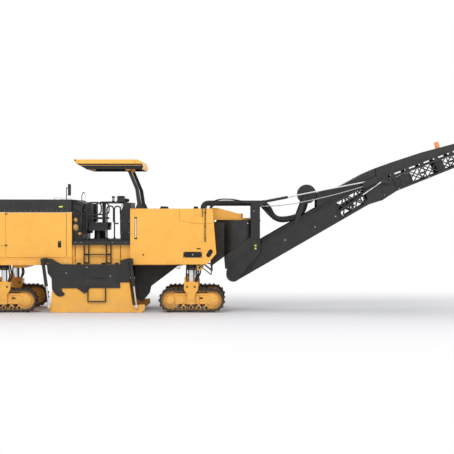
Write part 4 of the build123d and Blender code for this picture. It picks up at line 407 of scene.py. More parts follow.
def smooth_route(points, steps=8):
    """Catmull-Rom curve through a few points, for hoses and bent rods."""
    knots = [Vector(p) for p in points]
    knots = [2 * knots[0] - knots[1]] + knots + [2 * knots[-1] - knots[-2]]
    route = []
    for a, b, c, d in zip(knots, knots[1:], knots[2:], knots[3:]):
        for step in range(steps):
            t = step / steps
            route.append(0.5 * (2 * b + (c - a) * t + (2 * a - 5 * b + 4 * c - d) * t ** 2
                                + (3 * b - a - 3 * c + d) * t ** 3))
    return route + [knots[-2]]


def shared_hose(name, material, bodies, route, radius, count=10):
    """Hose with its start by one body and its end by the other; it stays where it is, on no body."""
    hose = Shape()
    hose.tube(smooth_route(route, 9), radius, count)
    hose.make(name, material, bodies + (route[0], route[-1]))


# ---------- tracks and legs
TRACK_Y, WHEEL_Z, WHEEL_REACH = 1.03, 0.32, 0.555
LINKS = 33
BAND_RADIUS, PIN_CIRCLE, SHOE_CIRCLE = 0.271, 0.236, 0.288   # of the track round a wheel


def loop_place(share, radius):
    """(x, z, angle) round the track at a share of its length, at a radius from the wheel centres."""
    straight, arc = 2 * WHEEL_REACH, pi * BAND_RADIUS
    run = share * (2 * straight + 2 * arc)
    if run < straight:
        return -WHEEL_REACH + run, WHEEL_Z - radius, 0.0
    if run < straight + arc:
        angle = (run - straight) / arc * pi
        return WHEEL_REACH + radius * sin(angle), WHEEL_Z - radius * cos(angle), angle
    if run < 2 * straight + arc:
        return WHEEL_REACH - (run - straight - arc), WHEEL_Z + radius, pi
    angle = pi + (run - 2 * straight - arc) / arc * pi
    return -WHEEL_REACH + radius * sin(angle), WHEEL_Z - radius * cos(angle), angle


def capsule(cx, cz, angle, length, height, count=5):
    """Rounded link outline standing in the XZ plane."""
    outline = []
    for end, first in ((1, -90), (-1, 90)):
        for step in range(count):
            turn = radians(first + 180 * step / (count - 1))
            u = end * (length - height) / 2 + height / 2 * cos(turn)
            v = height / 2 * sin(turn)
            outline.append((cx + u * cos(angle) - v * sin(angle), cz + u * sin(angle) + v * cos(angle)))
    return outline


for corner, leg, side in CORNERS:
    body = "crawler_" + corner
    centre_x, centre_y = leg + 0.02, side * TRACK_Y
    links, link_pins, shoe_bolts = Shape(), Shape(), Shape()
    for index in range(LINKS):
        share = (index + 0.5) / LINKS
        x, z, angle = loop_place(share, PIN_CIRCLE)
        for face in (-1, 1):
            near = centre_y + face * 0.112
            links.prism(capsule(centre_x + x, z, angle, 0.108, 0.040), near, near + face * 0.016)
            px, pz, _ = loop_place((index + 0.98) / LINKS, PIN_CIRCLE)
            link_pins.turned((centre_x + px, near, pz), (0, face, 0),
                             ((0, 0.011), (0.021, 0.011), (0.024, 0.007)), 10)
        x, z, angle = loop_place(index / LINKS, SHOE_CIRCLE)
        outward = (sin(angle), 0, -cos(angle))
        for across in (-0.105, -0.045, 0.045, 0.105):
            shoe_bolts.bolt((centre_x + x, centre_y + across, z), outward, 0.010)
    links.box((centre_x - 0.50, centre_x + 0.46), (centre_y - 0.055, centre_y + 0.055), (0.470, 0.548))
    links.make("links_" + corner, TRACK_LINK, body, 0.003)
    link_pins.make("link_pins_" + corner, TRACK_STEEL, body)
    shoe_bolts.make("shoe_bolts_" + corner, TRACK_STEEL, body)

    yellow, dark, bolts = Shape(), Shape(), Shape()
    for face in (-1, 1):
        outer = centre_y + face * 0.110
        out = (0, face, 0)
        rear_x, front_x = centre_x - WHEEL_REACH, centre_x + WHEEL_REACH
        # drive hub with its ring of bolts, and the cover on its end
        yellow.turned((rear_x, centre_y + face * 0.146, WHEEL_Z), out,
                      ((0, 0.088), (0.006, 0.088), (0.012, 0.074), (0.016, 0.070), (0.018, 0.030)), 28)
        for dx, dz in circle(0.126, 14):
            bolts.bolt((rear_x + dx, outer, WHEEL_Z + dz), out, 0.008)
        for dx, dz in circle(0.190, 18, 0.5):
            dark.turned((rear_x + dx, centre_y + face * 0.058, WHEEL_Z + dz), out,
                        ((0, 0.011), (0.006, 0.011)), 10)
        # idler cap and its grease fitting
        yellow.turned((front_x, outer - face * 0.002, WHEEL_Z), out,
                      ((0, 0.118), (0.010, 0.118), (0.016, 0.104), (0.018, 0.060), (0.026, 0.052),
                       (0.028, 0.02)), 28)
        for dx, dz in circle(0.084, 8, 0.5):
            bolts.bolt((front_x + dx, outer + face * 0.012, WHEEL_Z + dz), out, 0.007)
        # tensioner plate, long hole and ribs on the frame's side
        side_y = centre_y + face * 0.093
        yellow.prism([(leg + 0.20, 0.30), (leg + 0.52, 0.30), (leg + 0.55, 0.33), (leg + 0.55, 0.41),
                      (leg + 0.52, 0.44), (leg + 0.20, 0.44)], side_y, side_y + face * 0.013)
        dark.prism(capsule(leg + 0.262, 0.372, 0.0, 0.105, 0.044, 9), side_y, side_y + face * 0.016)
        for x in (leg + 0.225, leg + 0.495):
            for z in (0.325, 0.415):
                bolts.bolt((x, side_y + face * 0.012, z), out, 0.008)
        yellow.panel((rear_x + 0.16, front_x - 0.12), (0.455, 0.488), side_y, side_y + face * 0.020)
        yellow.panel((rear_x + 0.20, front_x - 0.10), (0.222, 0.246), side_y, side_y + face * 0.016)
        for station in (-0.2, 0.0, 0.2, 0.4):
            dark.turned((leg + station, centre_y + face * 0.098, 0.128), out,
                        ((0, 0.036), (0.012, 0.036), (0.018, 0.024)), 20)
            bolts.bolt((leg + station, centre_y + face * 0.114, 0.128), out, 0.010)
            bolts.bolt((leg + station, side_y + face * 0.014, 0.234), out, 0.008)
        # yoke cheek: cap of the swing pin and the two large bolts above it
        cheek = centre_y + face * 0.184
        yellow.turned((leg, cheek, 0.35), out, ((0, 0.058), (0.008, 0.058), (0.013, 0.048), (0.014, 0.018)),
                      26)
        for x in (-0.030, 0.030):
            bolts.bolt((leg + x, cheek + face * 0.010, 0.35), out, 0.007)
        for x in (-0.10, 0.10):
            dark.turned((leg + x, cheek, 0.675), out,
                        ((0, 0.024), (0.010, 0.024), (0.010, 0.019), (0.020, 0.019)), 20)
        yellow.panel((leg - 0.155, leg + 0.155), (0.74, 0.77), cheek, cheek + face * 0.010)
    yellow.make("crawler_plates_" + corner, YELLOW, body, 0.003)
    dark.make("crawler_dark_" + corner, DARK_TRIM, body, 0.0015)
    bolts.make("crawler_bolts_" + corner, TRACK_STEEL, body)

    # ram seals, clamp ring and the hoses that run down beside the ram
    rings = Shape()
    for z, profile in ((1.105, ((0, 0.086), (0.004, 0.104), (0.030, 0.106), (0.034, 0.100))),
                       (1.140, ((0, 0.100), (0.004, 0.114), (0.112, 0.114), (0.116, 0.100))),
                       (1.205, ((0, 0.111), (0.004, 0.126), (0.030, 0.126), (0.034, 0.111)))):
        rings.turned((leg, centre_y, z), UP, profile, 32)
    rings.make("ram_seals_" + corner, DARK_TRIM, "chassis", 0.001)
    foot_ring = Shape()
    foot_ring.turned((leg, centre_y, 0.788), UP, ((0, 0.128), (0.018, 0.128), (0.026, 0.118), (0.026, 0.083)),
                     32)
    for dx, dy in circle(0.106, 8, 0.5):
        foot_ring.bolt((leg + dx, centre_y + dy, 0.812), UP, 0.007)
    foot_ring.make("ram_foot_" + corner, YELLOW, body, 0.001)
    for index, (dx, dy, reach) in enumerate(((0.118, 0.05, 0.030), (0.150, -0.01, 0.050),
                                             (-0.112, 0.07, -0.012))):
        y = centre_y + side * dy
        shared_hose("leg_hose_%d_%s" % (index, corner), RUBBER, ("chassis", body),
                    [(leg + dx, y, 1.245), (leg + dx + reach * 0.5, y, 1.10), (leg + dx + reach, y, 0.95),
                     (leg + dx * 0.9, y, 0.80)], 0.020, 12)

# ---------- engine housing and hood
REAR_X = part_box("engine_housing")[0][0]
FRONT_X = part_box("engine_housing")[1][0]
DOOR_LOW, DOOR_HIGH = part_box("engine_door_right")
fix = Shape()            # bolt heads all over the body
body_dark = Shape()      # small black fittings on the body
body_yellow = Shape()
for side in SIDES:
    out = (0, side, 0)
    skin = side * BODY_Y
    # seams between the rear panels: thin dark cover strips let into the skin
    body_dark.strip((REAR_X + 0.01, DOOR_LOW[0] - 0.006), (SEAM_Z, SEAM_Z + 0.007), skin, side, 0.0008, 0.004)
    body_dark.strip((DOOR_HIGH[0] + 0.006, DOOR_HIGH[0] + 0.011), (1.475, 2.60), skin, side, 0.0008, 0.004)
    # band under the housing: lower lip, jacking plates and bolts
    band = side * BAND_Y
    body_yellow.strip((REAR_X + 0.02, FRONT_X + 0.15), (1.242, 1.262), band, side, 0.014, 0.002)
    body_yellow.strip((REAR_X + 0.02, FRONT_X), (1.395, 1.412), band, side, 0.010, 0.002)
    fix.bolts([(x, 1.325) for x in (-5.95, -5.2, -4.62, -4.55, -3.98, -3.32, -3.24)], band, side, 0.013)
    for x in (-4.60, -3.28):
        body_yellow.strip(about(at(x), 0.07), (1.275, 1.375), band, side, 0.012, 0.002)
        for dx in (-0.045, 0.045):
            for z in (1.295, 1.355):
                fix.bolt((at(x) + dx, band + side * 0.011, z), out, 0.009)
    fix.bolts([(x, z) for x in (-6.1, -5.6, -5.1) for z in (1.50, 1.70, 1.79, 2.56)], skin, side, 0.007)
hinges = Shape()
for name, side in (("door_right", -1), ("door_left", 1)):
    out = (0, side, 0)
    skin = side * BODY_Y
    door_fix, door_dark, door_skin = Shape(), Shape(), Shape()
    for z in (1.76, 2.58):
        hinges.turned((DOOR_LOW[0] - 0.004, skin + side * 0.003, z - 0.032), UP, ((0, 0.009), (0.064, 0.009)),
                      12)
        door_dark.strip((DOOR_LOW[0] + 0.004, DOOR_LOW[0] + 0.046), about(z, 0.014), skin, side, 0.004)
        door_fix.bolt((DOOR_LOW[0] + 0.032, skin + side * 0.003, z), out, 0.006)
    hinges.panel((DOOR_LOW[0] - 0.009, DOOR_LOW[0] - 0.002), (DOOR_LOW[2] + 0.01, DOOR_HIGH[2] - 0.01),
                 skin - side * 0.012, skin - side * 0.001)
    # paddle latch in its recess, and the pressed border of the door
    x0 = DOOR_HIGH[0] + 0.006 - 0.180
    door_dark.strip(about(x0, 0.043), (1.702, 1.878), skin, side, 0.0045)
    door_dark.strip(about(x0, 0.022), (1.735, 1.820), skin, side, 0.012)
    door_fix.turned((x0, skin + side * 0.003, 1.850), out, ((0, 0.012), (0.006, 0.012), (0.007, 0.004)), 16)
    low_x, high_x = DOOR_LOW[0] + 0.05, DOOR_HIGH[0] - 0.05
    low_z, high_z = DOOR_LOW[2] + 0.05, DOOR_HIGH[2] - 0.05
    for x_pair, z_pair in (((low_x, high_x), (low_z, low_z + 0.008)),
                           ((low_x, high_x), (high_z - 0.008, high_z)),
                           ((low_x, low_x + 0.008), (low_z, high_z)),
                           ((high_x - 0.008, high_x), (low_z, high_z))):
        door_skin.strip(x_pair, z_pair, skin, side, 0.0025)
    door_dark.make(name + "_fittings", DARK_TRIM, name, 0.001)
    door_fix.make(name + "_lock", ZINC, name)
    door_skin.make(name + "_border", YELLOW, name, 0.001)

hood_dark, hood_trim, reflectors = Shape(), Shape(), Shape()
for side in SIDES:
    out = (0, side, 0)
    skin = side * BODY_Y
    for x in (-6.0, -5.35, -4.72, -4.05, -3.42):
        hood_dark.strip(about(at(x), 0.004), (2.645, 2.925), skin, side, 0.002)
    hood_dark.strip((REAR_X + 0.03, FRONT_X - 0.02), (2.636, 2.652), skin, side, 0.006)
    for index in range(22):
        hood_trim.bolt((REAR_X + 0.10 + index * 0.136, skin + side * 0.001, 2.668), out, 0.006)
    reflectors.strip((at(-3.455), at(-3.355)), (2.752, 2.788), skin, side, 0.006)
# mirror glass faces the rear of the machine and a rim holds it
mirror = Shape()
mirror_x = at(-3.26) + 0.065
mirror.box((mirror_x - 0.004, mirror_x + 0.001), (-1.365, -1.195), (3.075, 3.345))
mirror.make("mirror_glass", MIRROR, "hood", 0.001)
hood_dark.box((mirror_x + 0.050, mirror_x + 0.062), (-1.36, -1.20), (3.08, 3.34))
# top of the hood: air intake, panel seams and lift-off handles
for index in range(17):
    y = -INTAKE_Y + 2 * INTAKE_Y * (index + 0.5) / 17
    hood_dark.box((at(-5.55), at(-4.85)), (y - 0.022, y + 0.010), (HOOD_TOP - 0.001, HOOD_TOP + 0.007))
for x in (-4.70, -3.95):
    hood_dark.box(about(at(x), 0.004), (-1.12, 1.12), (HOOD_TOP - 0.001, HOOD_TOP + 0.003))
for side in SIDES:
    for x in (-5.9, -3.5):
        hood_trim.tube(smooth_route([(at(x) - 0.09, side * 1.0, HOOD_TOP - 0.002),
                                     (at(x) - 0.085, side * 1.0, HOOD_TOP + 0.045),
                                     (at(x) + 0.085, side * 1.0, HOOD_TOP + 0.045),
                                     (at(x) + 0.09, side * 1.0, HOOD_TOP - 0.002)], 7), 0.009, 10)
hood_dark.make("hood_fittings", DARK_TRIM, "hood", 0.001)
hood_trim.make("hood_bolts", ZINC, "hood")
reflectors.make("hood_reflectors", LIME, "hood", 0.002)
hinges.make("door_hinges", DARK_TRIM, "chassis", 0.001)

# ---------- front body
BAY_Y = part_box("main_frame")[1][1]      # recessed frame side under the platform
white, glassy, rails = Shape(), Shape(), Shape()
for side in SIDES:
    out = (0, side, 0)
    skin = side * BODY_Y
    # tall grab handle in its slot, with black brackets at its ends
    gx = at(-1.445)
    white.tube([(gx, skin - side * 0.010, 1.95), (gx, skin - side * 0.010, 2.47)], 0.017, 14)
    body_dark.strip(about(gx, 0.033), (1.925, 1.960), skin, side, 0.010, 0.045)
    body_dark.strip(about(gx, 0.033), (2.462, 2.497), skin, side, 0.010, 0.045)
    # seams of the upper access panel
    for line in (((-0.300, 2.700), (-0.300, 2.410)), ((-0.300, 2.410), (0.180, 2.325)),
                 ((0.180, 2.325), (0.575, 2.325))):
        (x0, z0), (x1, z1) = line
        length = hypot(x1 - x0, z1 - z0)
        nx, nz = -(z1 - z0) / length * 0.003, (x1 - x0) / length * 0.003
        body_dark.sheet([(at(x0) - nx, z0 - nz), (at(x1) - nx, z1 - nz), (at(x1) + nx, z1 + nz),
                         (at(x0) + nx, z0 + nz)], skin, side, 0.0008, 0.004)
    # lamp panel, small name-free oblong and the tilted oval opening near the front
    body_dark.sheet([(at(-0.20), 1.44), (at(0.285), 1.44), (at(0.285), 1.565), (at(0.262), 1.59),
                     (at(-0.177), 1.59), (at(-0.20), 1.565)], skin, side, 0.008, 0.003)
    body_dark.panel((at(-0.185), at(0.270)), (1.508, 1.517), skin + side * 0.004, skin + side * 0.013)
    fix.turned((at(0.045), skin + side * 0.006, 1.512), out, ((0, 0.014), (0.008, 0.014), (0.011, 0.008)), 16)
    fix.bolts([(x, z) for x in (-0.165, 0.250) for z in (1.462, 1.562)], skin + side * 0.007, side, 0.006)
    body_dark.strip((at(0.15), at(0.25)), (1.655, 1.685), skin, side, 0.005)
    body_dark.sheet(capsule(at(0.485), 1.55, radians(58), 0.225, 0.115, 9), skin, side, 0.004, 0.003)
    body_dark.sheet(capsule(at(0.485), 1.55, radians(58), 0.170, 0.062, 9), skin, side, 0.010, 0.003)
    body_dark.turned((at(-1.25), skin - side * 0.002, 1.51), out,
                     ((0, 0.022), (0.006, 0.022), (0.008, 0.010)), 18)
    # hose and grab loop down the front edge
    loop = [(at(0.300), skin + side * 0.004, 2.735), (at(0.300), skin + side * 0.030, 2.790),
            (at(0.370), skin + side * 0.034, 2.800), (at(0.372), skin + side * 0.034, 2.55),
            (at(0.366), skin + side * 0.034, 2.20), (at(0.368), skin + side * 0.034, 1.93),
            (at(0.368), skin + side * 0.004, 1.845)]
    rails.tube(smooth_route(loop, 10), 0.012, 10)
    rails.tube([(at(0.300), skin + side * 0.026, 2.760), (at(0.300), skin + side * 0.026, 2.52),
                (at(0.300), skin - side * 0.004, 2.50)], 0.008, 8)
    for z in (2.62, 2.25, 1.95):
        body_dark.strip((at(0.348), at(0.390)), about(z, 0.012), skin, side, 0.022)
    fix.bolts(((0.30, 1.86), (0.42, 1.86), (-1.52, 1.79), (-1.36, 1.79), (-1.52, 2.64), (0.52, 2.50)), skin,
              side, 0.008)
    body_yellow.bolts(((-0.62, 1.64), (-0.62, 1.36), (-1.1, 1.75), (0.46, 2.34), (0.50, 2.22)), skin, side,
                      0.010)
    # small pair of hooks at the platform end of the lid
    body_yellow.strip((at(-1.585), at(-1.43)), (2.705, 2.719), skin, side, 0.012)
    body_yellow.strip((at(-1.57), at(0.41)), (1.262, 1.285), skin, side, 0.006)
    # recessed frame side under the platform: stiffeners, clips and bolts
    bay = side * BAY_Y
    for x in (-3.05, -1.86):
        body_dark.strip((at(x), at(x) + 0.014), (1.30, 1.75), bay, side, 0.012)
    fix.bolts([(x, z) for x in (-2.95, -2.10, -1.68) for z in (1.33, 1.70)], bay, side, 0.010)
    body_yellow.strip((at(-3.10), at(-1.60)), (1.40, 1.425), bay, side, 0.016)
    for x in (-2.95, -2.30, -1.95):
        body_dark.box(about(at(x), 0.05), span(bay, bay + side * 0.03), (1.262, 1.30))
# lid seams and filler caps on top of the body
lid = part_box("front_body")[1][2]
for x in (-1.10, -0.30, 0.35):
    body_dark.box(about(at(x), 0.003), (-1.17, 1.17), (lid - 0.001, lid + 0.002))
for x, y, radius in ((-0.75, 0.55, 0.085), (-0.75, -0.55, 0.085), (0.10, 0.0, 0.060)):
    body_dark.turned((at(x), y, lid), UP, ((0, radius * 1.2), (0.012, radius * 1.2), (0.014, radius),
                                           (0.055, radius * 0.94), (0.062, radius * 0.80)), 26)
for x in (-1.5, -0.95, -0.45, 0.2, 0.5):
    for y in (-1.12, -0.56, 0.56, 1.12):
        fix.bolt((at(x), y, lid), UP, 0.008)
# work lamps under the front corners, and the bracket beside them
for side in SIDES:
    body_dark.box((at(-0.36), at(-0.30)), span(side * 1.06, side * 1.12), (1.20, 1.262))
    body_dark.turned((at(-0.33), side * 1.02, 1.185), (0, side, 0),
                     ((0, 0.020), (0.030, 0.045), (0.075, 0.055), (0.095, 0.055)), 22)
    glassy.turned((at(-0.33), side * 1.110, 1.185), (0, side, 0),
                  ((0, 0.048), (0.006, 0.046), (0.012, 0.030)), 22)
    bracket = [(at(0.18), 1.262), (at(0.53), 1.285), (at(0.53), 0.985)]
    for (x0, z0), (x1, z1) in zip(bracket, bracket[1:] + bracket[:1]):
        rails.tube([(x0, side * 1.09, z0), (x1, side * 1.09, z1)], 0.013, 8)
    rails.tube([(at(0.34), side * 1.09, 1.272), (at(0.53), side * 1.09, 1.13)], 0.009, 8)

white.make("grab_handles", WHITE, "chassis", 0.002)
glassy.make("work_lamp_glass", AMBER_GLASS, "chassis", 0.002)
rails.make("front_rails", BLACK, "chassis")

# ---------- operator's platform
DECK_LOW, DECK_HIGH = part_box("platform_deck")
deck_z = DECK_HIGH[2]
tread, edge_strip = Shape(), Shape()
for ix in range(44):
    for iy in range(60):
        x = DECK_LOW[0] + 0.30 + ix * 0.0262
        y = -1.13 + iy * 0.0382
        if abs(y) < 0.82 and x > at(-1.90):
            continue
        turn = radians(45 if (ix + iy) % 2 else -45)
        dx, dy = 0.011 * cos(turn), 0.011 * sin(turn)
        nx, ny = -0.0035 * sin(turn), 0.0035 * cos(turn)
        tread.add([(x - dx - nx, y - dy - ny, deck_z), (x + dx - nx, y + dy - ny, deck_z),
                   (x + dx + nx, y + dy + ny, deck_z), (x - dx + nx, y - dy + ny, deck_z),
                   (x - dx * 0.7, y - dy * 0.7, deck_z + 0.002),
                   (x + dx * 0.7, y + dy * 0.7, deck_z + 0.002)],
                  [(0, 1, 5, 4), (1, 2, 5), (2, 3, 4, 5), (3, 0, 4)])
tread.make("deck_tread", BLACK, "chassis")
for side in SIDES:
    skin = side * BODY_Y
    edge_strip.strip((DECK_LOW[0], DECK_HIGH[0]), (1.878, 1.894), skin, side, 0.006, 0.020)
    edge_strip.strip((DECK_LOW[0], DECK_HIGH[0]), (1.770, 1.780), skin, side, 0.004, 0.020)
    fix.bolts([(x, 1.83) for x in (-3.02, -2.88, -2.06, -1.72)], skin, side, 0.008)
    # flanged feet of the rails, and clamps where they meet the deck
    for x in (-2.74, -2.20):
        edge_strip.turned((at(x), side * 1.14, deck_z), UP,
                          ((0, 0.045), (0.010, 0.045), (0.014, 0.030), (0.040, 0.026)), 20)
    # rungs' grip sleeves on the ladder
    for pair in ((-2.80, -2.68), (-2.22, -2.10)):
        for z in (1.294, 1.520):
            edge_strip.tube([(at(pair[0]) + 0.02, side * 1.135, z), (at(pair[1]) - 0.02, side * 1.135, z)],
                            0.021, 12)
    for index in range(9):
        x = at(-2.66) + index * 0.052
        edge_strip.box((x, x + 0.020), span(side * 1.108, side * 1.162), (1.530, 1.537))
edge_strip.make("deck_edges", DARK_TRIM, "chassis", 0.002)

# machinery behind the seats: filters with ribs, pipes, hose bundle, lid handle
parts_dark, parts_brass, parts_hose = Shape(), Shape(), Shape()
block_x = at(-2.86)
for y in (-0.9, -0.45, 0.0, 0.45, 0.9):
    for index in range(12):
        z = 2.08 + index * 0.042
        parts_dark.turned((block_x, y, z), UP, ((0, 0.088), (0.006, 0.092), (0.014, 0.092), (0.020, 0.088)),
                          22)
    parts_dark.turned((block_x, y, 2.60), UP, ((0, 0.094), (0.030, 0.094), (0.044, 0.070), (0.060, 0.040)),
                      22)
for side in SIDES:
    near = side * 1.08
    for x, z, radius in ((-3.03, 2.22, 0.085), (-3.02, 2.42, 0.060), (-2.92, 2.06, 0.050)):
        parts_brass.turned((at(x), near - side * 0.004, z), (0, side, 0),
                           ((0, radius), (0.020, radius), (0.026, radius * 0.85), (0.050, radius * 0.80),
                            (0.055, radius * 0.45), (0.070, radius * 0.42)), 24)
        for dx, dz in circle(radius * 0.62, 6):
            parts_dark.bolt((at(x) + dx, near + side * 0.045, z + dz), (0, side, 0), 0.006)
    for x0, z0, x1, z1, sag in ((-3.08, 2.75, -2.90, 1.95, 0.05), (-3.04, 2.70, -2.95, 2.50, 0.09),
                                (-3.09, 2.60, -3.05, 1.92, -0.03), (-2.97, 2.40, -2.88, 2.15, 0.04),
                                (-3.00, 2.00, -2.90, 2.30, 0.05)):
        parts_hose.tube(smooth_route([(at(x0), near, z0),
                                      (at((x0 + x1) / 2) + sag, near + side * 0.045, (z0 + z1) / 2),
                                      (at(x1), near, z1)], 10), 0.014, 10)
    parts_dark.sheet([(at(-3.10), 2.84), (at(-2.88), 2.80), (at(-2.88), 2.815), (at(-3.10), 2.94)], near,
                     side, 0.012, 0.002)
# loop handle above the lid, on the right only: dark at its top, pale along its front
hx, hy = at(-2.835), -0.98
parts_hose.tube(smooth_route([(hx - 0.030, hy, 2.84), (hx - 0.040, hy, 2.95), (hx - 0.036, hy, 3.08),
                              (hx, hy, 3.150), (hx + 0.038, hy, 3.12)], 9), 0.010, 10)
parts_hose.tube(smooth_route([(hx + 0.010, hy, 2.84), (hx + 0.030, hy, 2.90), (hx + 0.038, hy, 2.93)], 6),
                0.010, 8)
pale = Shape()
pale.tube(smooth_route([(hx + 0.038, hy, 3.12), (hx + 0.044, hy, 3.06), (hx + 0.040, hy, 2.93)], 9), 0.006,
          10)
pale.make("lid_handle", ZINC, "chassis")
parts_dark.make("machinery_fittings", DARK_TRIM, "chassis", 0.0008)
parts_brass.make("machinery_caps", BRASS, "chassis", 0.001)
parts_hose.make("machinery_hoses", RUBBER, "chassis")

# console: screen, buttons, levers, side screens and cable loops
desk, screen, knobs = Shape(), Shape(), Shape()
for y in (-0.56, 0.56):
    desk.prism([(at(-1.99), 2.90), (at(-1.79), 2.90), (at(-1.79), 3.00), (at(-1.93), 3.00)], y - 0.17,
               y + 0.17)
    screen.add([(at(-1.995), y - 0.13, 2.912), (at(-1.995), y + 0.13, 2.912), (at(-1.942), y + 0.13, 2.992),
                (at(-1.942), y - 0.13, 2.992)], [(0, 1, 2, 3)])
screen.add([(at(-2.0175), -0.125, 2.925), (at(-2.0175), 0.125, 2.925), (at(-2.0175), 0.125, 3.045),
            (at(-2.0175), -0.125, 3.045)], [(0, 1, 2, 3)])
for y in (-0.24, -0.16, -0.08, 0.0, 0.08, 0.16, 0.24):
    for x in (-2.40, -2.32, -2.24):
        knobs.turned((at(x), y, 2.908), UP, ((0, 0.013), (0.008, 0.013), (0.011, 0.009)), 14)
for y in (-0.20, 0.20):
    knobs.turned((at(-2.13), y, 2.905), UP, ((0, 0.034), (0.014, 0.030), (0.030, 0.014), (0.105, 0.010),
                                             (0.110, 0.024), (0.140, 0.026), (0.155, 0.014)), 18)
for index, y in enumerate((-0.70, -0.35, 0.35, 0.70)):
    desk.box((at(-1.884), at(-1.878)), about(y, 0.14), (2.05, 2.42))
    for z in (2.09, 2.38):
        for dy in (-0.11, 0.11):
            fix.bolt((at(-1.884), y + dy, z), (-1, 0, 0), 0.007)
for side in SIDES:
    y = side * 0.80
    desk.strip((at(-1.86), at(-1.63)), (2.06, 2.42), y, side, 0.010)
    fix.bolts(((-1.84, 2.09), (-1.65, 2.09), (-1.84, 2.39), (-1.65, 2.39)), y + side * 0.009, side, 0.007)
    for dx, dip in ((0.0, 0.10), (0.03, 0.16)):
        desk.tube(smooth_route([(at(-1.80) + dx, side * 0.55, 2.90),
                                (at(-1.90) + dx, side * 0.60, 2.80 - dip),
                                (at(-1.885) + dx, side * 0.66, 2.50)], 9), 0.010, 8)
    # head lamps on the console's shoulders
    desk.turned((at(-1.77), side * 0.30, 2.95), (0, side, 0),
                ((0, 0.030), (0.040, 0.046), (0.090, 0.046), (0.100, 0.03)), 18)
desk.make("console_panels", PLASTIC, "chassis", 0.002)
knobs.make("console_knobs", DARK_TRIM, "chassis", 0.001, slot="console_plastic")
SCREEN = surface("screen_glass", (0.010, 0.013, 0.018), (0.016, 0.020, 0.026), (0.06, 0.12), 4.0,
                 grain=(700.0, 0.05, 0.0003), coat=0.7)
screen.make("console_screens", SCREEN, "chassis", smooth=False, slot="console_plastic")

# ---------- discharge conveyor, ducts and canopy
TAIL_PLACE, LOWER_TILT = (1.110, 0.967), 30.0
MAST_FACE, LOWER_FACE, UPPER_FACE, UPPER_INNER, CANOPY_FACE = 0.640, 0.530, 0.490, 0.450, 1.100
FOLD_PLACE, UPPER_TILT = (5.050, 2.990), 21.9
DUCT_Y, DUCT_Z, DUCT_R = 0.165, 2.87, 0.0735


def sloped(origin, tilt, s, t):
    """World (x, z) of a point s along and t above a sloping conveyor section."""
    turn = radians(tilt)
    return (at(origin[0]) + s * cos(turn) - t * sin(turn), origin[1] + s * sin(turn) + t * cos(turn))


def lower(s, t):
    return sloped(TAIL_PLACE, LOWER_TILT, s, t)


def upper(s, t):
    return sloped(FOLD_PLACE, UPPER_TILT, s, t)


def oblong(section, s, t):
    """Corners of an oblong over the s and t pairs of a section."""
    return [section(s[0], t[0]), section(s[1], t[0]), section(s[1], t[1]), section(s[0], t[1])]


def spline_points(points, resolution=14):
    """Points along the NURBS line that a route's control points give."""
    curve = bpy.data.curves.new("route", "CURVE")
    curve.dimensions = "3D"
    curve.resolution_u = resolution
    spline = curve.splines.new("NURBS")
    spline.points.add(len(points) - 1)
    for point, place in zip(spline.points, points):
        point.co = tuple(place) + (1.0,)
    spline.order_u = 3
    spline.use_endpoint_u = True
    holder = bpy.data.objects.new("route", curve)
    bpy.context.scene.collection.objects.link(holder)
    mesh = bpy.data.meshes.new_from_object(holder)
    places = [vertex.co.copy() for vertex in mesh.vertices]
    bpy.data.objects.remove(holder)
    bpy.data.curves.remove(curve)
    bpy.data.meshes.remove(mesh)
    return places


def ribbed(count):
    """Radii of the rings of a duct: every third ring stands in a little."""
    return [DUCT_R if index % 3 else DUCT_R * 0.955 for index in range(count)]


def ribbed_run(shape, near, far, pitch=0.011):
    """Straight ribbed sleeve."""
    length = (Vector(far) - Vector(near)).length
    rings = int(length / pitch)
    profile = [(length * index / rings, radius) for index, radius in enumerate(ribbed(rings + 1))]
    shape.turned(near, Vector(far) - Vector(near), profile, 22)


duct_chassis, duct_slew, duct_bridge, duct_dip = Shape(), Shape(), Shape(), Shape()
for side in SIDES:
    y = side * DUCT_Y
    ribbed_run(duct_chassis, (at(0.445), y, DUCT_Z), (at(1.205), y, DUCT_Z))
    ribbed_run(duct_slew, (at(1.46), y, DUCT_Z), (at(1.83), y, DUCT_Z))
    ribbed_run(duct_bridge, (at(1.19), y, DUCT_Z), (at(1.47), y, DUCT_Z))
    # from the mast the duct hangs down over the conveyor and rises to the fan
    dip = spline_points([(at(1.82), y, DUCT_Z), (at(2.02), y, 2.86), (at(2.20), y, 2.44), (at(2.62), y, 2.44),
                         (at(3.02), y, 2.58), (at(3.07), y, 2.985)])
    duct_dip.tube(dip, ribbed(len(dip)), 22)
duct_chassis.make("duct_ribs_body", RUBBER, "chassis")
duct_slew.make("duct_ribs_mast", RUBBER, "slew")
duct_bridge.make("duct_bellows", RUBBER,
                 ("chassis", "slew", (at(1.19), 0.0, DUCT_Z), (at(1.47), 0.0, DUCT_Z)))
dip_piece = duct_dip.make("duct_hoses", RUBBER,
                          ("slew", "lower", (at(1.82), 0.0, DUCT_Z), (at(2.95), 0.0, 2.56)))
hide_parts("duct_conveyor")

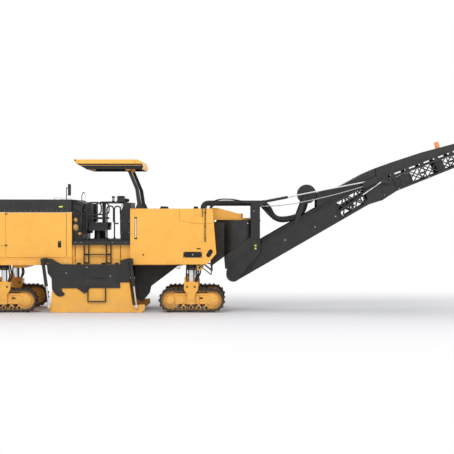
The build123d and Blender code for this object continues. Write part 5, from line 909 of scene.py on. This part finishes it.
# hoses from the body to the mast, and from the mast down into the lower section
for index, (y, rise) in enumerate(((-0.46, 0.10), (-0.40, 0.17), (-0.33, 0.06), (0.33, 0.13), (0.40, 0.08))):
    shared_hose("mast_hose_%d" % index, RUBBER, ("chassis", "slew"),
                [(at(0.45), y, 2.66), (at(0.62), y, 2.76 + rise), (at(1.05), y, 2.80 + rise),
                 (at(1.60), y, 2.86)], 0.017)
for index, (y, sag) in enumerate(((-0.36, 0.00), (-0.30, 0.05), (0.30, 0.02))):
    shared_hose("section_hose_%d" % index, RUBBER, ("slew", "lower"),
                [(at(1.82), y, 2.84), (at(2.12), y, 2.56 - sag), (at(2.42), y, 2.42 - sag),
                 (at(2.95), y, 2.48)], 0.020)
for side in SIDES:
    y = side * 0.60
    shared_hose("side_line_" + ("left" if side > 0 else "right"), ZINC, ("slew", "lower"),
                [(at(1.79), y, 2.78), (at(2.60), y, 2.835), (at(3.70), y, 3.065), (at(4.74), y, 3.36)], 0.011)

slew_fix, slew_lamps, slew_dark = Shape(), Shape(), Shape()
lower_fix, lower_joints_and_painted_shadow, lower_skirt = Shape(), Shape(), Shape()
upper_dark, upper_fix = Shape(), Shape()
for side in SIDES:
    out = (0, side, 0)
    mast = side * MAST_FACE
    for z in (1.66, 1.74):
        slew_lamps.strip((at(1.675), at(1.725)), about(z, 0.022), mast, side, 0.007)
    slew_dark.bolts(((1.64, 2.72), (1.76, 2.72), (1.64, 1.90), (1.76, 1.90)), mast, side, 0.013)
    slew_fix.bolt((at(1.49), side * 0.602, 2.33), out, 0.015)
    slew_fix.bolt((at(1.66), mast, 2.66), out, 0.012)
    for dx, dz in circle(0.095, 6):
        slew_dark.bolt((at(TAIL_PLACE[0]) + dx, mast, TAIL_PLACE[1] + dz), out, 0.012)
    skin = side * LOWER_FACE
    lower_fix.bolts(((2.49, 1.883), (3.29, 2.235), (3.835, 2.515), (4.03, 2.542)), skin, side, 0.014)
    # dark seams across the section's side panels
    for s0 in (0.95, 1.75, 2.55, 3.24):
        lower_joints_and_painted_shadow.sheet(oblong(lower, (s0, s0 + 0.008), (-0.17, 0.33)), skin, side, 0.002)
    # painted shadow: long dark line just below the section's top edge
    lower_joints_and_painted_shadow.sheet(oblong(lower, (0.55, 3.26), (0.300, 0.308)), skin, side, 0.004)
    lower_skirt.prism([lower(1.05, 0.335), lower(3.26, 0.335), lower(3.26, 0.440), lower(1.10, 0.440)],
                      side * 0.475, side * 0.497)
    inner = side * UPPER_INNER
    upper_dark.sheet(oblong(upper, (0.05, 0.98), (0.06, 0.36)), inner, side, 0.004, 0.004)
    upper_dark.sheet(oblong(upper, (1.70, 1.90), (0.06, 0.42)), inner, side, 0.004, 0.004)
    for s0 in (0.12, 0.55, 1.40, 2.20, 3.00):
        upper_fix.bolt((upper(s0, 0.055)[0], side * UPPER_FACE, upper(s0, 0.055)[1]), out, 0.011)
slew_fix.make("slew_bolts", ZINC, "slew")
slew_lamps.make("mast_reflectors", LIME, "slew", 0.002)
slew_dark.make("slew_dark_bolts", DARK_TRIM, "slew")
lower_fix.make("lower_bolts", ZINC, "lower")
lower_joints_and_painted_shadow.make("lower_seams_and_painted_shadow_line", DARK_TRIM, "lower")
lower_skirt.make("lower_skirts", RUBBER, "lower", 0.002)
upper_dark.make("upper_inner_plates", BLACK, "upper")
upper_fix.make("upper_bolts", ZINC, "upper")

# drum covers: panel seams and bolts
COVER_FACE = 1.246       # outer face of the sheets; the cylinders beside them stand further out
cover_dark, cover_fix = Shape(), Shape()
for side in SIDES:
    face = side * COVER_FACE
    for x in (-2.655, -2.180):
        cover_dark.strip(about(at(x), 0.004), (0.93, 1.225), face, side, 0.002)
    cover_fix.bolts(((-2.72, 1.185), (-3.26, 1.035), (-2.11, 0.960)), face, side, 0.012)
cover_dark.make("cover_seams", DARK_TRIM, "chassis")
cover_fix.make("cover_bolts", ZINC, "chassis")

# rubber flaps between the front body and the swinging shroud
flaps = Shape()
for side in SIDES:
    flaps.prism([(at(0.505), 1.182), (at(0.69), 1.320), (at(0.87), 1.454), (at(0.87), 2.36),
                 (at(0.505), 2.36)], side * 0.785, side * 0.799)
flaps.make("front_flaps", RUBBER, "chassis", 0.002)

# canopy: dark band round its lower half, seams and small marks, and painted shade: dark sheets on its inner
# walls, lips and ceiling
roof_dark_and_painted_shade, roof_line = Shape(), Shape()
for side in SIDES:
    face = side * CANOPY_FACE
    roof_dark_and_painted_shade.sheet([(at(-3.010), 3.900), (at(-2.748), 3.758), (at(-1.282), 3.758), (at(-1.256), 3.825),
                     (at(-1.285), 3.900)], face, side, 0.003)
    # dark rear corner; the dark lining of the far wall and lips seen from below is painted shade
    roof_dark_and_painted_shade.sheet([(at(-3.082), 4.001), (at(-3.020), 4.009), (at(-3.012), 3.958)], face, side, 0.003)
    roof_dark_and_painted_shade.box((at(-2.76), at(-1.28)), span(side * 1.066, side * 1.100), (3.7555, 3.7605))
    roof_dark_and_painted_shade.box((at(-2.698), at(-1.332)), span(side * 1.066, side * 1.0695), (3.762, 3.948))
    roof_line.prism([(at(-2.90), 3.852), (at(-1.295), 3.852), (at(-1.297), 3.860), (at(-2.915), 3.860)],
                    face + side * 0.001, face + side * 0.006)
    for x in (-2.936, -1.473):
        roof_dark_and_painted_shade.strip(about(at(x), 0.003), (3.900, 3.990), face, side, 0.002)
# painted shade: dark lips at the canopy's ends and a dark ceiling under the roof
for x0, x1 in ((-2.76, -2.698), (-1.332, -1.28)):
    roof_dark_and_painted_shade.box((at(x0), at(x1)), (-1.10, 1.10), (3.7555, 3.7605))
roof_dark_and_painted_shade.box((at(-2.698), at(-1.332)), (-1.066, 1.066), (3.936, 3.939))
roof_dark_and_painted_shade.make("canopy_band_and_painted_shade", DARK_TRIM, "roof", 0.001)
roof_line.make("canopy_line", YELLOW, "roof")

# ---------- fittings shared by the chassis
fix.make("body_bolts", ZINC, "chassis")
body_dark.make("body_fittings", DARK_TRIM, "chassis", 0.001)
body_yellow.make("body_strips", YELLOW, "chassis", 0.002)

# ---------- floor, light and camera
def floor_material():
    """Pale floor that keeps the shadow near the machine and fades to plain white away from it."""
    material, tree, shader, coords = node_tree("studio_floor")
    put(shader, {"Roughness": 0.6, "Specular IOR Level": 0.1})
    tone = remap(tree, noise(tree, coords, 0.15, 2.0), 0.3, 0.7)
    tree.links.new(blend_colour(tree, tone, (0.80, 0.80, 0.825), (0.785, 0.785, 0.812)),
                   shader.inputs["Base Color"])
    parts = tree.nodes.new("ShaderNodeSeparateXYZ")
    tree.links.new(coords, parts.inputs["Vector"])
    kept = 1.0
    for axis, near, far in (("Y", -0.5, -13.0), ("Y", 1.0, 9.0), ("X", 4.0, 13.0), ("X", -8.0, -17.0)):
        ramp = remap(tree, parts.outputs[axis], near, far, 1.0, 0.0)
        ramp.node.interpolation_type = "SMOOTHSTEP"
        kept = times(tree, ramp, kept)
    white = tree.nodes.new("ShaderNodeEmission")
    put(white, {"Color": (1.0, 1.0, 1.0, 1.0), "Strength": 1.0})
    mix = tree.nodes.new("ShaderNodeMixShader")
    tree.links.new(kept, mix.inputs["Fac"])
    tree.links.new(white.outputs["Emission"], mix.inputs[1])
    tree.links.new(shader.outputs["BSDF"], mix.inputs[2])
    tree.links.new(mix.outputs["Shader"], tree.nodes["Material Output"].inputs["Surface"])
    return material


floor_mesh = bpy.data.meshes.new("floor")
reach = 90.0
floor_mesh.from_pydata([(-reach, -reach, 0), (reach, -reach, 0), (reach, reach, 0), (-reach, reach, 0)], [],
                       [(0, 1, 2, 3)])
floor = bpy.data.objects.new("floor", floor_mesh)
floor_mesh.materials.append(floor_material())
bpy.context.scene.collection.objects.link(floor)

world = bpy.data.worlds.new("studio")
bpy.context.scene.world = world
world.use_nodes = True
tree = world.node_tree
background = tree.nodes["Background"]
put(background, {"Color": (0.95, 0.97, 1.0, 1.0), "Strength": 0.47})
seen = tree.nodes.new("ShaderNodeBackground")
put(seen, {"Color": (1.0, 1.0, 1.0, 1.0), "Strength": 1.0})
path = tree.nodes.new("ShaderNodeLightPath")
any_ray = path.outputs["Is Camera Ray"]
for ray in ("Is Glossy Ray", "Is Transmission Ray"):
    join = tree.nodes.new("ShaderNodeMath")
    join.operation = "MAXIMUM"
    tree.links.new(any_ray, join.inputs[0])
    tree.links.new(path.outputs[ray], join.inputs[1])
    any_ray = join.outputs["Value"]
choose = tree.nodes.new("ShaderNodeMixShader")
tree.links.new(any_ray, choose.inputs["Fac"])
tree.links.new(background.outputs["Background"], choose.inputs[1])
tree.links.new(seen.outputs["Background"], choose.inputs[2])
tree.links.new(choose.outputs["Shader"], tree.nodes["World Output"].inputs["Surface"])

for name, place, aim, size, power in (("key_light", (-6.0, -13.0, 11.0), (0.0, 0.0, 1.5), 9.0, 1130.0),
                                      ("fill_light", (9.0, -12.0, 7.0), (1.0, 0.0, 1.5), 8.0, 480.0),
                                      ("top_light", (0.0, 3.0, 14.0), (0.0, 0.0, 1.0), 12.0, 640.0)):
    lamp = bpy.data.lights.new(name, "AREA")
    lamp.size = size
    lamp.energy = power
    lamp_object = bpy.data.objects.new(name, lamp)
    lamp_object.location = place
    lamp_object.rotation_euler = (Vector(aim) - Vector(place)).to_track_quat("-Z", "Y").to_euler()
    bpy.context.scene.collection.objects.link(lamp_object)

camera_data = bpy.data.cameras.new("camera")
camera_data.sensor_width = 36.0
camera_data.lens = 104.5
camera = bpy.data.objects.new("camera", camera_data)
camera.location = (FRONT + 0.942, -35.65, 2.63)
camera.rotation_euler = (radians(90.0 - 0.65), 0.0, 0.0)
camera_data.clip_end = 300.0
bpy.context.scene.collection.objects.link(camera)
bpy.context.scene.camera = camera
bpy.context.scene.view_settings.view_transform = "Standard"
